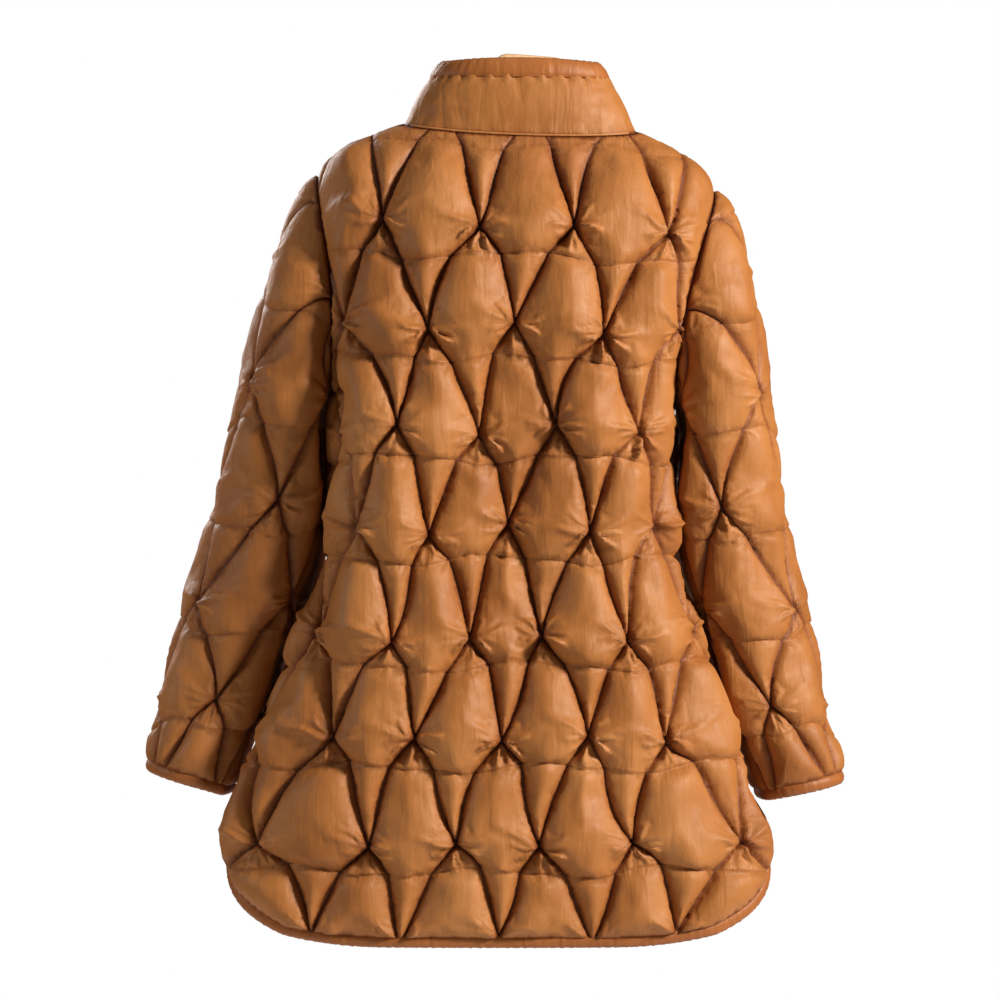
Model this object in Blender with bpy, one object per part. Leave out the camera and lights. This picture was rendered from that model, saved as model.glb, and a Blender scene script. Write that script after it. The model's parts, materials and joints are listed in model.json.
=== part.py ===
"""Diamond-quilted down coat with a stand collar, hanging by its wooden hanger and seen from its back.

Metres, +Z up, +X to the wearer's right, +Y to the wearer's front. The origin is the top of the
hanger's neck, where its hook screws in. Heights in the tables are measured up from the hem.
Each cloth panel is drawn as a flat cut, in millimetre-true distances round and up the body, and is
then laid on the form. Its inside is plain and its outside is raised between the quilting seams.
"""

import math

import bmesh
import bpy
import numpy as np
from mathutils import Matrix, Vector
from mathutils.geometry import delaunay_2d_cdt

HANG_HEIGHT = 0.840      # bound hem to the top of the hanger's neck
HEM_EDGE = 0.0095        # the panels end this far above the bottom of the bound hem
WALL = 0.0028            # shell, down-proof lining and seam allowance where they are sewn flat
SEAM_GAP = 0.0005        # between two panels at a seam
ARMHOLE_GAP = 0.0009     # between the body and a sleeve
PUFF = 0.0130            # how far a full chamber stands off its seams
PUFF_SPAN = 0.030        # distance from a seam at which a chamber is full
BINDING_WIDTH = 0.0088   # bound edge, across
BINDING_THICK = 0.0064   # bound edge, through

UNDERARM_HEIGHT = 0.517
SHOULDER_HEIGHT = 0.7200
SIDE_NECK_HEIGHT = 0.772
BACK_NECK_HEIGHT = 0.758
FRONT_NECK_HEIGHT = 0.702
VENT_HEIGHT = 0.150      # side slits, from the hem
VENT_EDGE = 0.0118       # each slit edge stands back this far from the side line
CORNER_RADIUS = 0.066    # hem corners at the slits
HEM_RISE = 0.0215        # the hem curves up to its corners by this much
OVERLAP = 0.018          # half the front overlap
OVERLAP_LIFT = 0.0075    # the upper front lies this far above the lower one
STRIP_WIDTH = 0.028      # plain strip along the front's edge, for the studs
STRIP_CLEAR = 0.010      # quilting that starts nearer to it than this is left out
ARMHOLE_BACK = 0.178     # back and front width to the armhole, round the body from the centre

# height, centre in x, half width, back depth, front depth, squareness, roll to the lower shoulder
BODY_RINGS = (
    (-0.030, -0.031, 0.259, 0.076, 0.086, 2.5, 0.000),
    (0.090, -0.033, 0.254, 0.080, 0.090, 2.5, 0.000),
    (0.136, -0.037, 0.241, 0.082, 0.091, 2.45, 0.000),
    (0.174, -0.035, 0.226, 0.083, 0.092, 2.4, 0.000),
    (0.273, -0.031, 0.191, 0.082, 0.093, 2.3, 0.000),
    (0.330, -0.030, 0.168, 0.080, 0.093, 2.25, 0.000),
    (0.381, -0.030, 0.157, 0.080, 0.094, 2.25, 0.000),
    (0.475, -0.029, 0.160, 0.090, 0.106, 2.3, -0.005),
    (0.517, -0.028, 0.162, 0.093, 0.108, 2.3, -0.012),
    (0.570, -0.025, 0.175, 0.094, 0.106, 2.35, -0.020),
    (0.620, -0.021, 0.188, 0.092, 0.099, 2.4, -0.028),
    (0.667, -0.018, 0.194, 0.086, 0.086, 2.4, -0.034),
    (0.700, -0.016, 0.191, 0.077, 0.075, 2.35, -0.037),
    (0.720, -0.015, 0.186, 0.070, 0.068, 2.3, -0.038),
    (0.732, -0.014, 0.177, 0.065, 0.064, 2.25, -0.038),
    (0.745, -0.013, 0.159, 0.060, 0.059, 2.2, -0.037),
    (0.758, -0.012, 0.135, 0.055, 0.055, 2.15, -0.036),
    (0.772, -0.011, 0.106, 0.050, 0.051, 2.1, -0.035),
    (0.800, -0.011, 0.060, 0.040, 0.040, 2.0, -0.035),
)

# Quilting: height of each row of crossings, and the width of a diamond there
QUILT_ROWS = (
    (0.838, 0.087),
    (0.665, 0.087),
    (0.567, 0.080),
    (0.477, 0.077),
    (0.381, 0.073),
    (0.282, 0.079),
    (0.188, 0.081),
    (0.105, 0.083),
    (0.018, 0.084),
    (-0.070, 0.084),
)
SEAM_STEP = 0.024        # the longest straight run of a diagonal seam, in height
CAP_SHARE = 0.28         # the cross seams lie this share of a row below the crossings

# Sleeves: height of the ring, its centre in x and y, half width, half depth
LEFT_SLEEVE = (
    (0.477, -0.2300, 0.020, 0.055, 0.060),
    (0.420, -0.2420, 0.030, 0.057, 0.060),
    (0.350, -0.2600, 0.036, 0.058, 0.056),
    (0.273, -0.2860, 0.038, 0.056, 0.051),
    (0.215, -0.3060, 0.036, 0.050, 0.047),
    (0.155, -0.3240, 0.032, 0.045, 0.043),
    (0.100, -0.3350, 0.030, 0.044, 0.042),
)
RIGHT_SLEEVE = (
    (0.477, 0.1740, 0.020, 0.054, 0.060),
    (0.420, 0.1800, 0.030, 0.057, 0.060),
    (0.350, 0.1910, 0.036, 0.058, 0.056),
    (0.273, 0.2130, 0.038, 0.056, 0.051),
    (0.215, 0.2300, 0.036, 0.049, 0.047),
    (0.145, 0.2540, 0.032, 0.044, 0.043),
    (0.080, 0.2630, 0.030, 0.043, 0.042),
)
SLEEVE_CLEAR = 0.0165    # from the body's form to the sleeve's, below the underarm
CUFF_HEIGHT = {"left": 0.154, "right": 0.146}
CUFF_SLANT = {"left": 0.28, "right": -0.20}     # rise of the cuff's plane along x
CUFF_REACH = 0.043       # from the cuff's centre to its side
SLEEVE_COLUMNS = 4
SLEEVE_COLUMN_WIDTH = 0.084
SLEEVE_HEAD = 0.46       # how far the sleeve's head stands out at its top before it falls
SLEEVE_HEAD_LOW = 0.85   # the same at the underarm
SLEEVE_ROWS = (0.795, 0.702, 0.606, 0.512, 0.418, 0.322, 0.228, 0.134, 0.040)

# Collar: share of the height, half width, back depth, front depth
COLLAR_TOP_BACK = 0.829
COLLAR_TOP_FRONT = 0.782
COLLAR_TOP_HALF = 0.077
COLLAR_CENTRE = -0.012
COLLAR_SLOPE_START = 0.45     # share of half a turn at which the top starts down to the front
COLLAR_TOP_BACK_DEPTH = 0.047
COLLAR_TOP_FRONT_DEPTH = 0.056
COLLAR_PUFF = 0.009
COLLAR_BINDING = 0.0110
COLLAR_HEIGHT = 0.074    # of the flat cut, with its binding
COLLAR_HALF_LENGTH = 0.250
COLLAR_LAP = 0.075       # share of that length by which each end passes the centre front
NECK_SPLIT = 0.42        # share of the neck seam that the back has
NECK_REACH = 0.150
NECK_POINTS = 13

STUD_RADIUS = 0.0070
STUD_THICK = 0.0026
STUD_COUNT = 6
STUD_TOP = 0.680
STUD_LOW = 0.130
STUD_CLEAR = 0.0006

HANGER_HALF_SPAN = 0.148
HANGER_NECK_HALF = 0.0330
HANGER_THICK = 0.0140
HANGER_SEAT = 0.0018
HANGER_DROOP = 0.004     # the arms fall away from the shoulders towards their tips
HANGER_ARM_DEPTH = 0.030
HANGER_NECK_FOOT = 0.052
HANGER_SIDES = 10
HANGER_TILT = math.radians(4.5)


def smooth(table, column, at):
    """A smooth curve through one column of a table, read at these places of its first column."""
    rows = sorted(table)
    x = np.array([row[0] for row in rows])
    y = np.array([row[column] for row in rows])
    slope = np.gradient(y, x)
    at = np.clip(np.asarray(at, float), x[0], x[-1])
    i = np.clip(np.searchsorted(x, at) - 1, 0, len(x) - 2)
    step = x[i + 1] - x[i]
    t = (at - x[i]) / step
    return (
        (2 * t**3 - 3 * t**2 + 1) * y[i]
        + (t**3 - 2 * t**2 + t) * step * slope[i]
        + (3 * t**2 - 2 * t**3) * y[i + 1]
        + (t**3 - t**2) * step * slope[i + 1]
    )


def half_ring(height, samples=97):
    """Half a body ring for each height, from the centre back to the centre front: x, y and distance."""
    height = np.atleast_1d(height)
    half, back, front, square = (
        smooth(BODY_RINGS, column, height)[:, None] for column in (2, 3, 4, 5)
    )
    angle = np.linspace(0, math.pi, samples)[None, :]
    power = 2 / square
    x = half * np.abs(np.sin(angle)) ** power
    depth = np.where(angle < math.pi / 2, -back, front)
    y = depth * np.abs(np.cos(angle)) ** power
    run = np.hypot(np.diff(x, axis=1), np.diff(y, axis=1))
    distance = np.concatenate([np.zeros((len(height), 1)), np.cumsum(run, axis=1)], axis=1)
    return x, y, distance


def side_distance(height, face):
    """Distance round the body from the centre back, or the centre front, to the side line."""
    _, _, distance = half_ring(height)
    side = distance[:, distance.shape[1] // 2]
    found = side if face == "back" else distance[:, -1] - side
    return found if np.ndim(height) else float(found[0])


def body_point(across, height, face):
    """Points of the body form: across is the signed distance round it from the centre of that face."""
    across, height = np.atleast_1d(across).astype(float), np.atleast_1d(height).astype(float)
    x, y, distance = half_ring(height)
    total = distance[:, -1]
    along = np.abs(across) if face == "back" else total - np.abs(across)
    column = np.clip((distance < along[:, None]).sum(axis=1), 1, distance.shape[1] - 1)
    row = np.arange(len(height))
    low, high = distance[row, column - 1], distance[row, column]
    share = (along - low) / np.maximum(high - low, 1e-9)
    side = np.where(across < 0, -1.0, 1.0)
    px = side * (x[row, column - 1] + share * (x[row, column] - x[row, column - 1]))
    py = y[row, column - 1] + share * (y[row, column] - y[row, column - 1])
    pz = height + smooth(BODY_RINGS, 6, height) * px
    px = px + smooth(BODY_RINGS, 1, height)
    return np.stack([px, py, pz - HANG_HEIGHT], axis=1)


def normals_of(surface, across, height, step=0.0015):
    """Outward normals of a surface(across, height), from its slopes."""
    right = surface(across + step, height) - surface(across - step, height)
    up = surface(across, height + step) - surface(across, height - step)
    normal = np.cross(right, up)
    return normal / np.linalg.norm(normal, axis=1)[:, None]


def bezier(points, count):
    """Points along a cubic curve."""
    t = np.linspace(0, 1, count)[:, None]
    a, b, c, d = (np.array(p) for p in points)
    return (1 - t) ** 3 * a + 3 * (1 - t) ** 2 * t * b + 3 * (1 - t) * t**2 * c + t**3 * d


def armhole_controls(face):
    """The armhole in the flat cut, from the shoulder tip to the underarm."""
    tip = side_distance(SHOULDER_HEIGHT, face)
    side = side_distance(UNDERARM_HEIGHT, face)
    return (
        (tip, SHOULDER_HEIGHT),
        (ARMHOLE_BACK - 0.004, SHOULDER_HEIGHT - 0.040),
        (ARMHOLE_BACK - 0.026, UNDERARM_HEIGHT + 0.006),
        (side, UNDERARM_HEIGHT),
    )


def neck_controls(face):
    """The neck edge in the flat cut, from the centre to the side of the neck."""
    low = BACK_NECK_HEIGHT if face == "back" else FRONT_NECK_HEIGHT
    side = side_distance(SIDE_NECK_HEIGHT, face)
    if face == "back":
        return ((0, low), (side * 0.55, low), (side * 0.9, low + 0.006), (side, SIDE_NECK_HEIGHT))
    return ((0, low), (side * 0.60, low), (side * 0.72, low + 0.045), (side, SIDE_NECK_HEIGHT))


def hem_height(across):
    """The hem's height over its lowest point: flat in the middle and rising to the corners."""
    return HEM_EDGE + HEM_RISE * np.clip((np.abs(across) - 0.11) / 0.14, 0, None) ** 2


def side_edge(face, heights):
    """The side line of a panel, set back at the slit and in by half the seam gap above it."""
    edge = side_distance(heights, face) - SEAM_GAP / 2
    slit = np.clip((VENT_HEIGHT + 0.012 - heights) / 0.012, 0, 1)
    return edge - slit * (VENT_EDGE - SEAM_GAP / 2)


def hem_corner(face):
    """The rounded hem corner, from the slit edge to the hem."""
    edge = float(side_edge(face, np.array([CORNER_RADIUS + 0.030]))[0])
    low = hem_height(edge)
    inner = edge - CORNER_RADIUS * 1.1
    start, end = (edge, low + CORNER_RADIUS), (inner, hem_height(inner))
    return bezier((start, (edge, low + 0.020), (edge - 0.026, low - 0.002), end), 6)


def half_outline(face):
    """One side of a panel's flat cut, from the neck's centre round to the hem's centre."""
    neck = bezier(neck_controls(face), NECK_POINTS)
    neck[:, 1] -= SEAM_GAP / 2
    shoulder_heights = np.linspace(SIDE_NECK_HEIGHT - SEAM_GAP, SHOULDER_HEIGHT + SEAM_GAP, 6)
    shoulder = np.stack([side_distance(shoulder_heights, face) - SEAM_GAP / 2, shoulder_heights], axis=1)
    armhole = bezier(armhole_controls(face), 19)[1:-1]
    corner = hem_corner(face)
    side_heights = np.concatenate([
        np.linspace(UNDERARM_HEIGHT, VENT_HEIGHT + 0.014, 22),
        np.linspace(VENT_HEIGHT, corner[0][1] + 0.016, 4),
    ])
    side = np.stack([side_edge(face, side_heights), side_heights], axis=1)
    hem_across = np.linspace(corner[-1][0], 0, 14)[1:]
    hem = np.stack([hem_across, hem_height(hem_across)], axis=1)
    return np.concatenate([neck[:-1], shoulder, armhole, side, corner, hem])


def back_outline():
    """The back's flat cut, all round."""
    right = half_outline("back")
    left = right[-2:0:-1] * np.array([-1, 1])
    return np.concatenate([right, left])


def front_outline(upper):
    """A front's flat cut on the wearer's right, from its centre edge; the upper one's corner is round."""
    half = half_outline("front")
    edge = -OVERLAP if upper else -OVERLAP + 0.002
    neck_end = np.array([[edge, half[0][1]]])
    body = half[(half[:, 0] > 0.030) | (half[:, 1] > FRONT_NECK_HEIGHT - 0.01)]
    heights = np.arange(0.060, half[0][1] - 0.006, 0.022)
    straight = np.stack([np.full(len(heights), edge), heights], axis=1)
    if upper:
        corner = bezier(((0.020, 0), (0.0, 0), (edge, 0.014), (edge, 0.045)), 6)
    else:
        corner = np.array([[0.010, 0.0], [edge, 0.0], [edge, 0.020], [edge, 0.040]])
    corner = corner + (0, HEM_EDGE)
    return np.concatenate([body, corner, straight, neck_end])


def diamond_across(column, height, face):
    """Where a diamond column lies round the body; past two columns it reaches out to the side line."""
    width = smooth(QUILT_ROWS, 1, height)
    side = side_distance(height, face)
    outer = np.where(height > UNDERARM_HEIGHT, width, np.maximum(side - 2 * width, 0.04))
    size = np.abs(column)
    return np.sign(column) * (np.minimum(size, 2) * width + np.maximum(size - 2, 0) * outer)


def quilt_lines(rows, first_column, last_column):
    """Quilting seams as polylines of (column, height): bent diagonals between crossings, and cross seams."""
    diagonals, crossings = [], []
    for k, (top, low) in enumerate(zip(rows[:-1], rows[1:])):
        cap = top - CAP_SHARE * (top - low)
        offset = 0.5 * ((k + 1) % 2)
        crossings.append(cap)
        for column in np.arange(first_column - 1, last_column + 2) + offset:
            for lean in (-1, 1):
                knots = np.array([(column, top), (column + lean * 0.25, cap), (column + lean * 0.5, low)])
                for a, b in ((knots[0], knots[1]), (knots[1], knots[2])):
                    count = max(1, round((a[1] - b[1]) / SEAM_STEP))
                    for i in range(count):
                        diagonals.append((a + (b - a) * i / count, a + (b - a) * (i + 1) / count))
    for cap in crossings:
        for column in np.arange(first_column - 1, last_column + 1, 0.25):
            diagonals.append((np.array((column, cap)), np.array((column + 0.25, cap))))
    return diagonals


def body_seams(face):
    """The body's quilting seams in the flat cut."""
    rows = [row[0] for row in QUILT_ROWS]
    seams = []
    for a, b in quilt_lines(rows, -3, 3):
        ends = [(float(diamond_across(np.array([p[0]]), np.array([p[1]]), face)[0]), p[1]) for p in (a, b)]
        seams.append((np.array(ends[0]), np.array(ends[1])))
    return seams


def inside(points, outline):
    """Which points lie inside a closed outline."""
    x, y = points[:, 0][:, None], points[:, 1][:, None]
    x0, y0 = outline[:, 0], outline[:, 1]
    x1, y1 = np.roll(x0, -1), np.roll(y0, -1)
    crosses = (y0 > y) != (y1 > y)
    with np.errstate(divide="ignore", invalid="ignore"):
        at = x0 + (y - y0) * (x1 - x0) / (y1 - y0)
    return (crosses & (x < at)).sum(axis=1) % 2 == 1


def distance_to(points, segments):
    """Distance from each point to the nearest of some segments."""
    a = np.array([s[0] for s in segments])
    d = np.array([s[1] for s in segments]) - a
    best = np.full(len(points), np.inf)
    for start, run in zip(a, d):
        t = np.clip(((points - start) @ run) / max(run @ run, 1e-12), 0, 1)
        best = np.minimum(best, np.linalg.norm(points - start - t[:, None] * run, axis=1))
    return best


def closed_edges(outline):
    """The segments of a closed outline."""
    return list(zip(outline, np.roll(outline, -1, axis=0)))


def keyed(point):
    """A point's key, for finding it again."""
    return (round(float(point[0]), 7), round(float(point[1]), 7))


def triangulate(outline, seams, spacing, clear):
    """Triangles of a flat cut with the seams as edges: points, faces."""
    low, high = outline.min(axis=0), outline.max(axis=0)
    rows = np.arange(low[1], high[1], spacing * 0.866)
    grid = np.array([
        (x + (i % 2) * spacing / 2, y)
        for i, y in enumerate(rows)
        for x in np.arange(low[0], high[0], spacing)
    ])
    grid = grid[inside(grid, outline)]
    grid = grid[distance_to(grid, closed_edges(outline) + seams) > clear]
    points = [tuple(p) for p in outline]
    edges = [(i, (i + 1) % len(outline)) for i in range(len(outline))]
    index = {keyed(p): i for i, p in enumerate(points)}
    for seam in seams:
        middle = (seam[0] + seam[1]) / 2
        if not inside(np.array([seam[0], middle, seam[1]]), outline).any():
            continue
        ends = []
        for end in seam:
            key = keyed(end)
            if key not in index:
                index[key] = len(points)
                points.append(tuple(end))
            ends.append(index[key])
        if ends[0] != ends[1]:
            edges.append(tuple(ends))
    points += [tuple(p) for p in grid]
    found = delaunay_2d_cdt([tuple(map(float, p)) for p in points], edges, [], 0, 1e-7)
    flat = np.array([tuple(v) for v in found[0]])
    faces = np.array([tuple(f) for f in found[2]])
    keep = inside(flat[faces].mean(axis=1), outline)
    used, faces = np.unique(faces[keep], return_inverse=True)
    return flat[used], faces.reshape(-1, 3)


def border(faces):
    """The open edges of some triangles, as one loop of points."""
    after = {}
    edges = {(int(f[i]), int(f[(i + 1) % 3])) for f in faces for i in range(3)}
    for a, b in edges:
        if (b, a) not in edges:
            after[a] = b
    loop = [next(iter(after))]
    for _ in range(len(after) - 1):
        loop.append(after[loop[-1]])
    return loop


def counter_clockwise(flat, faces):
    """The same triangles, all turning the same way."""
    a, b, c = (flat[faces[:, i]] for i in range(3))
    turn = (b[:, 0] - a[:, 0]) * (c[:, 1] - a[:, 1]) - (b[:, 1] - a[:, 1]) * (c[:, 0] - a[:, 0])
    return np.where((turn < 0)[:, None], faces[:, ::-1], faces)


def quilted_wall(
    name, outline, seams, surface, raised, material, spacing,
    facing=1, tube_seam=None, through=None, plain_spacing=2.0,
):
    """A panel's solid: raised outside, plain inside.

    facing is -1 where the flat cut's right and up turn into the cloth, tube_seam is the column at which
    a sleeve closes, and through gives the way through the wall where it isn't square to the surface.
    """
    flat, faces = triangulate(outline, seams, spacing, spacing * 0.42)
    faces = counter_clockwise(flat, faces)
    loop = border(faces)
    plain, plain_faces = triangulate(flat[loop], [], spacing * plain_spacing, spacing * 0.4 * plain_spacing)
    plain_faces = counter_clockwise(plain, plain_faces)
    outer = surface(flat[:, 0], flat[:, 1])
    outer += facing * normals_of(surface, flat[:, 0], flat[:, 1]) * raised(flat)[:, None]
    square = through or (lambda p: facing * normals_of(surface, p[:, 0], p[:, 1]))
    inner = surface(plain[:, 0], plain[:, 1]) - square(plain) * WALL
    place = {keyed(p): i + len(flat) for i, p in enumerate(plain)}
    rim = []
    for a, b in zip(loop, loop[1:] + loop[:1]):
        on_seam = tube_seam is not None and all(abs(abs(flat[i][0]) - tube_seam) < 1e-6 for i in (a, b))
        if not on_seam:
            rim.append((b, a, place[keyed(flat[a])], place[keyed(flat[b])]))
    mesh = bpy.data.meshes.new(name)
    points = np.concatenate([outer, inner])
    walls = [tuple(int(i) for i in f) for f in faces]
    walls += [tuple(int(i) + len(flat) for i in f[::-1]) for f in plain_faces] + rim
    mesh.from_pydata([tuple(p) for p in points], [], walls)
    return finish(name, mesh, material)


def finish(name, mesh, material):
    """A closed object from a mesh, smooth but for its sharp rims, with its material."""
    shape = bmesh.new()
    shape.from_mesh(mesh)
    bmesh.ops.remove_doubles(shape, verts=shape.verts, dist=2e-5)
    bmesh.ops.recalc_face_normals(shape, faces=shape.faces)
    shape.to_mesh(mesh)
    shape.free()
    mesh.shade_smooth()
    mesh.set_sharp_from_angle(angle=math.radians(50))
    mesh.materials.append(material)
    made = bpy.data.objects.new(name, mesh)
    bpy.context.scene.collection.objects.link(made)
    return made


def make_material(name, colour, roughness, metallic=0.0):
    """A Principled material."""
    material = bpy.data.materials.new(name)
    material.use_nodes = True
    shader = material.node_tree.nodes["Principled BSDF"]
    shader.inputs["Base Color"].default_value = (*colour, 1)
    shader.inputs["Roughness"].default_value = roughness
    shader.inputs["Metallic"].default_value = metallic
    return material


def puff_height(flat, seams, outline, rows, full=PUFF):
    """How far the outside stands off: round over each chamber, fuller towards its lower end."""
    away = distance_to(flat, closed_edges(outline))
    if seams:
        away = np.minimum(away, distance_to(flat, seams))
    caps = np.array([top - CAP_SHARE * (top - low) for top, low in zip(rows[:-1], rows[1:])])[::-1]
    i = np.clip(np.searchsorted(caps, flat[:, 1]), 1, len(caps) - 1)
    lower = 1 - np.clip((flat[:, 1] - caps[i - 1]) / (caps[i] - caps[i - 1]), 0, 1)
    share = np.clip(away / PUFF_SPAN, 0, 1)
    return full * np.sqrt(1 - (1 - share) ** 2) * (0.82 + 0.30 * lower)


def pressed_flat(flat, face):
    """How freely the body's chambers stand up: little at the neck, the armhole and under the arm."""
    low, high = UNDERARM_HEIGHT - 0.19, UNDERARM_HEIGHT + 0.03
    to_side = side_distance(flat[:, 1], face) - np.abs(flat[:, 0])
    beside = np.clip((0.065 - to_side) / 0.045, 0, 1)
    under_arm = np.clip((flat[:, 1] - low) / 0.06, 0, 1) * np.clip((high - flat[:, 1]) / 0.04, 0, 1)
    armhole, neck = (bezier(controls, 16) for controls in (armhole_controls(face), neck_controls(face)))
    mirrored = np.stack([np.abs(flat[:, 0]), flat[:, 1]], axis=1)
    edges = [pair for line in (armhole, neck) for pair in zip(line[:-1], line[1:])]
    near = np.clip(distance_to(mirrored, edges) / 0.030, 0, 1)
    return (1 - 0.72 * beside * under_arm) * (0.15 + 0.85 * near)


def make_back(material):
    """The back, in one piece from neck to hem with two slit edges."""
    outline, seams = back_outline(), body_seams("back")
    rows = [row[0] for row in QUILT_ROWS]
    return quilted_wall(
        "back", outline, seams,
        lambda across, height: body_point(across, height, "back"),
        lambda flat: puff_height(flat, seams, outline, rows) * pressed_flat(flat, "back"), material, 0.0175,
    )


def front_surface(side, upper):
    """The front's surface for one side of the body; the upper front is lifted over the lower one."""
    sign = 1 if side == "right" else -1

    def surface(across, height):
        base = body_point(across * sign, height, "front")
        lift = OVERLAP_LIFT * np.clip((0.068 - across) / 0.036, 0, 1) if upper else np.zeros(len(base))
        lift = lift * lift / OVERLAP_LIFT * (3 - 2 * lift / OVERLAP_LIFT)
        base[:, 1] += lift
        return base

    return surface


def make_front(side, upper, material):
    """One front, with a plain strip along its edge where the press studs sit."""
    outline, seams = front_outline(upper), body_seams("front")
    rows = [row[0] for row in QUILT_ROWS]
    strip = STRIP_WIDTH
    seams = [s for s in seams if min(s[0][0], s[1][0]) > strip - STRIP_CLEAR]
    edge_seam = [(np.array((strip, h)), np.array((strip, h + 0.02))) for h in np.arange(0.0, 0.70, 0.02)]
    seams = [(np.maximum(a, (strip, -1)), np.maximum(b, (strip, -1))) for a, b in seams] + edge_seam
    surface = front_surface(side, upper)

    def raised(flat):
        height = puff_height(flat, seams, outline, rows) * pressed_flat(flat, "front")
        return np.where(flat[:, 0] < strip, 0.0, height)

    facing = -1 if side == "right" else 1
    return quilted_wall(f"front_{side}", outline, seams, surface, raised, material, 0.0190, facing)


def wrapped(column):
    """A sleeve column as its share of half a turn from the top line: positive to the back, -1 at the seam."""
    return np.round(column / (SLEEVE_COLUMNS / 2) + 1, 6) % 2 - 1


def armhole_ring(side, turn):
    """The armhole: turn is 0 at the shoulder tip and 1 at the underarm, positive to the back."""
    sign = -1 if side == "left" else 1
    points = np.zeros((len(turn), 3))
    flat = np.zeros((len(turn), 2))
    for face in ("back", "front"):
        chosen = turn >= 0 if face == "back" else turn < 0
        t = np.abs(turn[chosen])[:, None]
        a, b, c, d = (np.array(p) for p in armhole_controls(face))
        cut = (1 - t) ** 3 * a + 3 * (1 - t) ** 2 * t * b + 3 * (1 - t) * t**2 * c + t**3 * d
        points[chosen] = body_point(sign * cut[:, 0], cut[:, 1], face)
        flat[chosen] = cut
    return points, flat


def keep_off_body(points, sign, clear):
    """Cloth that would lie inside the body is pressed flat against its side instead."""
    height = points[:, 2] + HANG_HEIGHT
    centre, half, back, front, square = (smooth(BODY_RINGS, c, height) for c in (1, 2, 3, 4, 5))
    depth = np.where(points[:, 1] < 0, back, front) + clear
    share = np.clip(np.abs(points[:, 1]) / depth, 0, 0.9999)
    limit = (half + clear) * (1 - share**square) ** (1 / square)
    out = sign * (points[:, 0] - centre)
    soft = 0.008
    pushed = limit + soft * np.logaddexp(0, (out - limit) / soft)
    points = points.copy()
    points[:, 0] = centre + sign * pushed
    return points


def sleeve_surface(side):
    """The sleeve's surface(column, height): a hanging tube, set into the armhole at its top."""
    sign = -1 if side == "left" else 1
    rings = LEFT_SLEEVE if side == "left" else RIGHT_SLEEVE
    bicep = rings[0][0]

    def tube(turn, height):
        cx, cy, half, depth = (smooth(rings, c, height) for c in (1, 2, 3, 4))
        angle = turn * math.pi
        x = cx + sign * half * np.cos(angle)
        y = cy - depth * np.sin(angle)
        return np.stack([x, y, height - HANG_HEIGHT], axis=1)

    def surface(column, height):
        turn = wrapped(np.atleast_1d(column))
        height = np.atleast_1d(height).astype(float)
        start, cut = armhole_ring(side, turn)
        low = tube(turn, np.full(len(turn), bicep))
        below = tube(turn, np.full(len(turn), bicep - 0.010))
        axis = (below - low) / 0.010
        top = cut[:, 1]
        t = np.clip((top - height) / (top - bicep), -0.2, 1)[:, None]
        length = (top - bicep)[:, None]
        sideways, falling = 0.95 - 0.30 * np.abs(turn), 0.42 + 0.25 * np.abs(turn)
        outward = np.stack([sign * sideways, -0.30 * np.sin(turn * math.pi), -falling], axis=1)
        outward /= np.linalg.norm(outward, axis=1)[:, None]
        start = start + outward * ARMHOLE_GAP
        head = SLEEVE_HEAD + (SLEEVE_HEAD_LOW - SLEEVE_HEAD) * np.abs(turn)[:, None]
        cap = (
            (2 * t**3 - 3 * t**2 + 1) * start
            + (t**3 - 2 * t**2 + t) * length * outward * head
            + (3 * t**2 - 2 * t**3) * low
            + (t**3 - t**2) * length * axis
        )
        hanging = tube(turn, height)
        lower = (height < bicep)[:, None]
        points = np.where(lower, hanging, cap)
        drop = np.clip((UNDERARM_HEIGHT + 0.006 - height) / 0.040, 0, 1)
        kept = keep_off_body(points, sign, SLEEVE_CLEAR * drop**0.6)
        share = np.clip((UNDERARM_HEIGHT + 0.002 - height) / 0.02, 0, 1)[:, None]
        return points * (1 - share) + kept * share

    return surface


def sleeve_outline(side):
    """The sleeve's flat cut in (column, height): a bell, straight seams and a slanting cuff."""
    sign = -1 if side == "left" else 1
    edge = SLEEVE_COLUMNS / 2
    turn = np.linspace(-1, 1, 37)
    _, cut = armhole_ring(side, turn)
    top = np.stack([turn * edge, cut[:, 1]], axis=1)
    columns = np.linspace(edge, -edge, 29)
    cuff = np.stack([columns, cuff_height(side, columns)], axis=1)
    down = np.linspace(top[-1][1], cuff[0][1], 20)[1:-1]
    right = np.stack([np.full(len(down), edge), down], axis=1)
    left = right[::-1] * np.array([-1, 1])
    return np.concatenate([top, right, cuff, left])


def cuff_height(side, columns):
    """The cuff's edge: a plane square to the sleeve, which leans outwards."""
    turn = np.asarray(columns) / (SLEEVE_COLUMNS / 2)
    sign = -1 if side == "left" else 1
    return CUFF_HEIGHT[side] - CUFF_SLANT[side] * sign * CUFF_REACH * np.cos(turn * math.pi)


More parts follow.
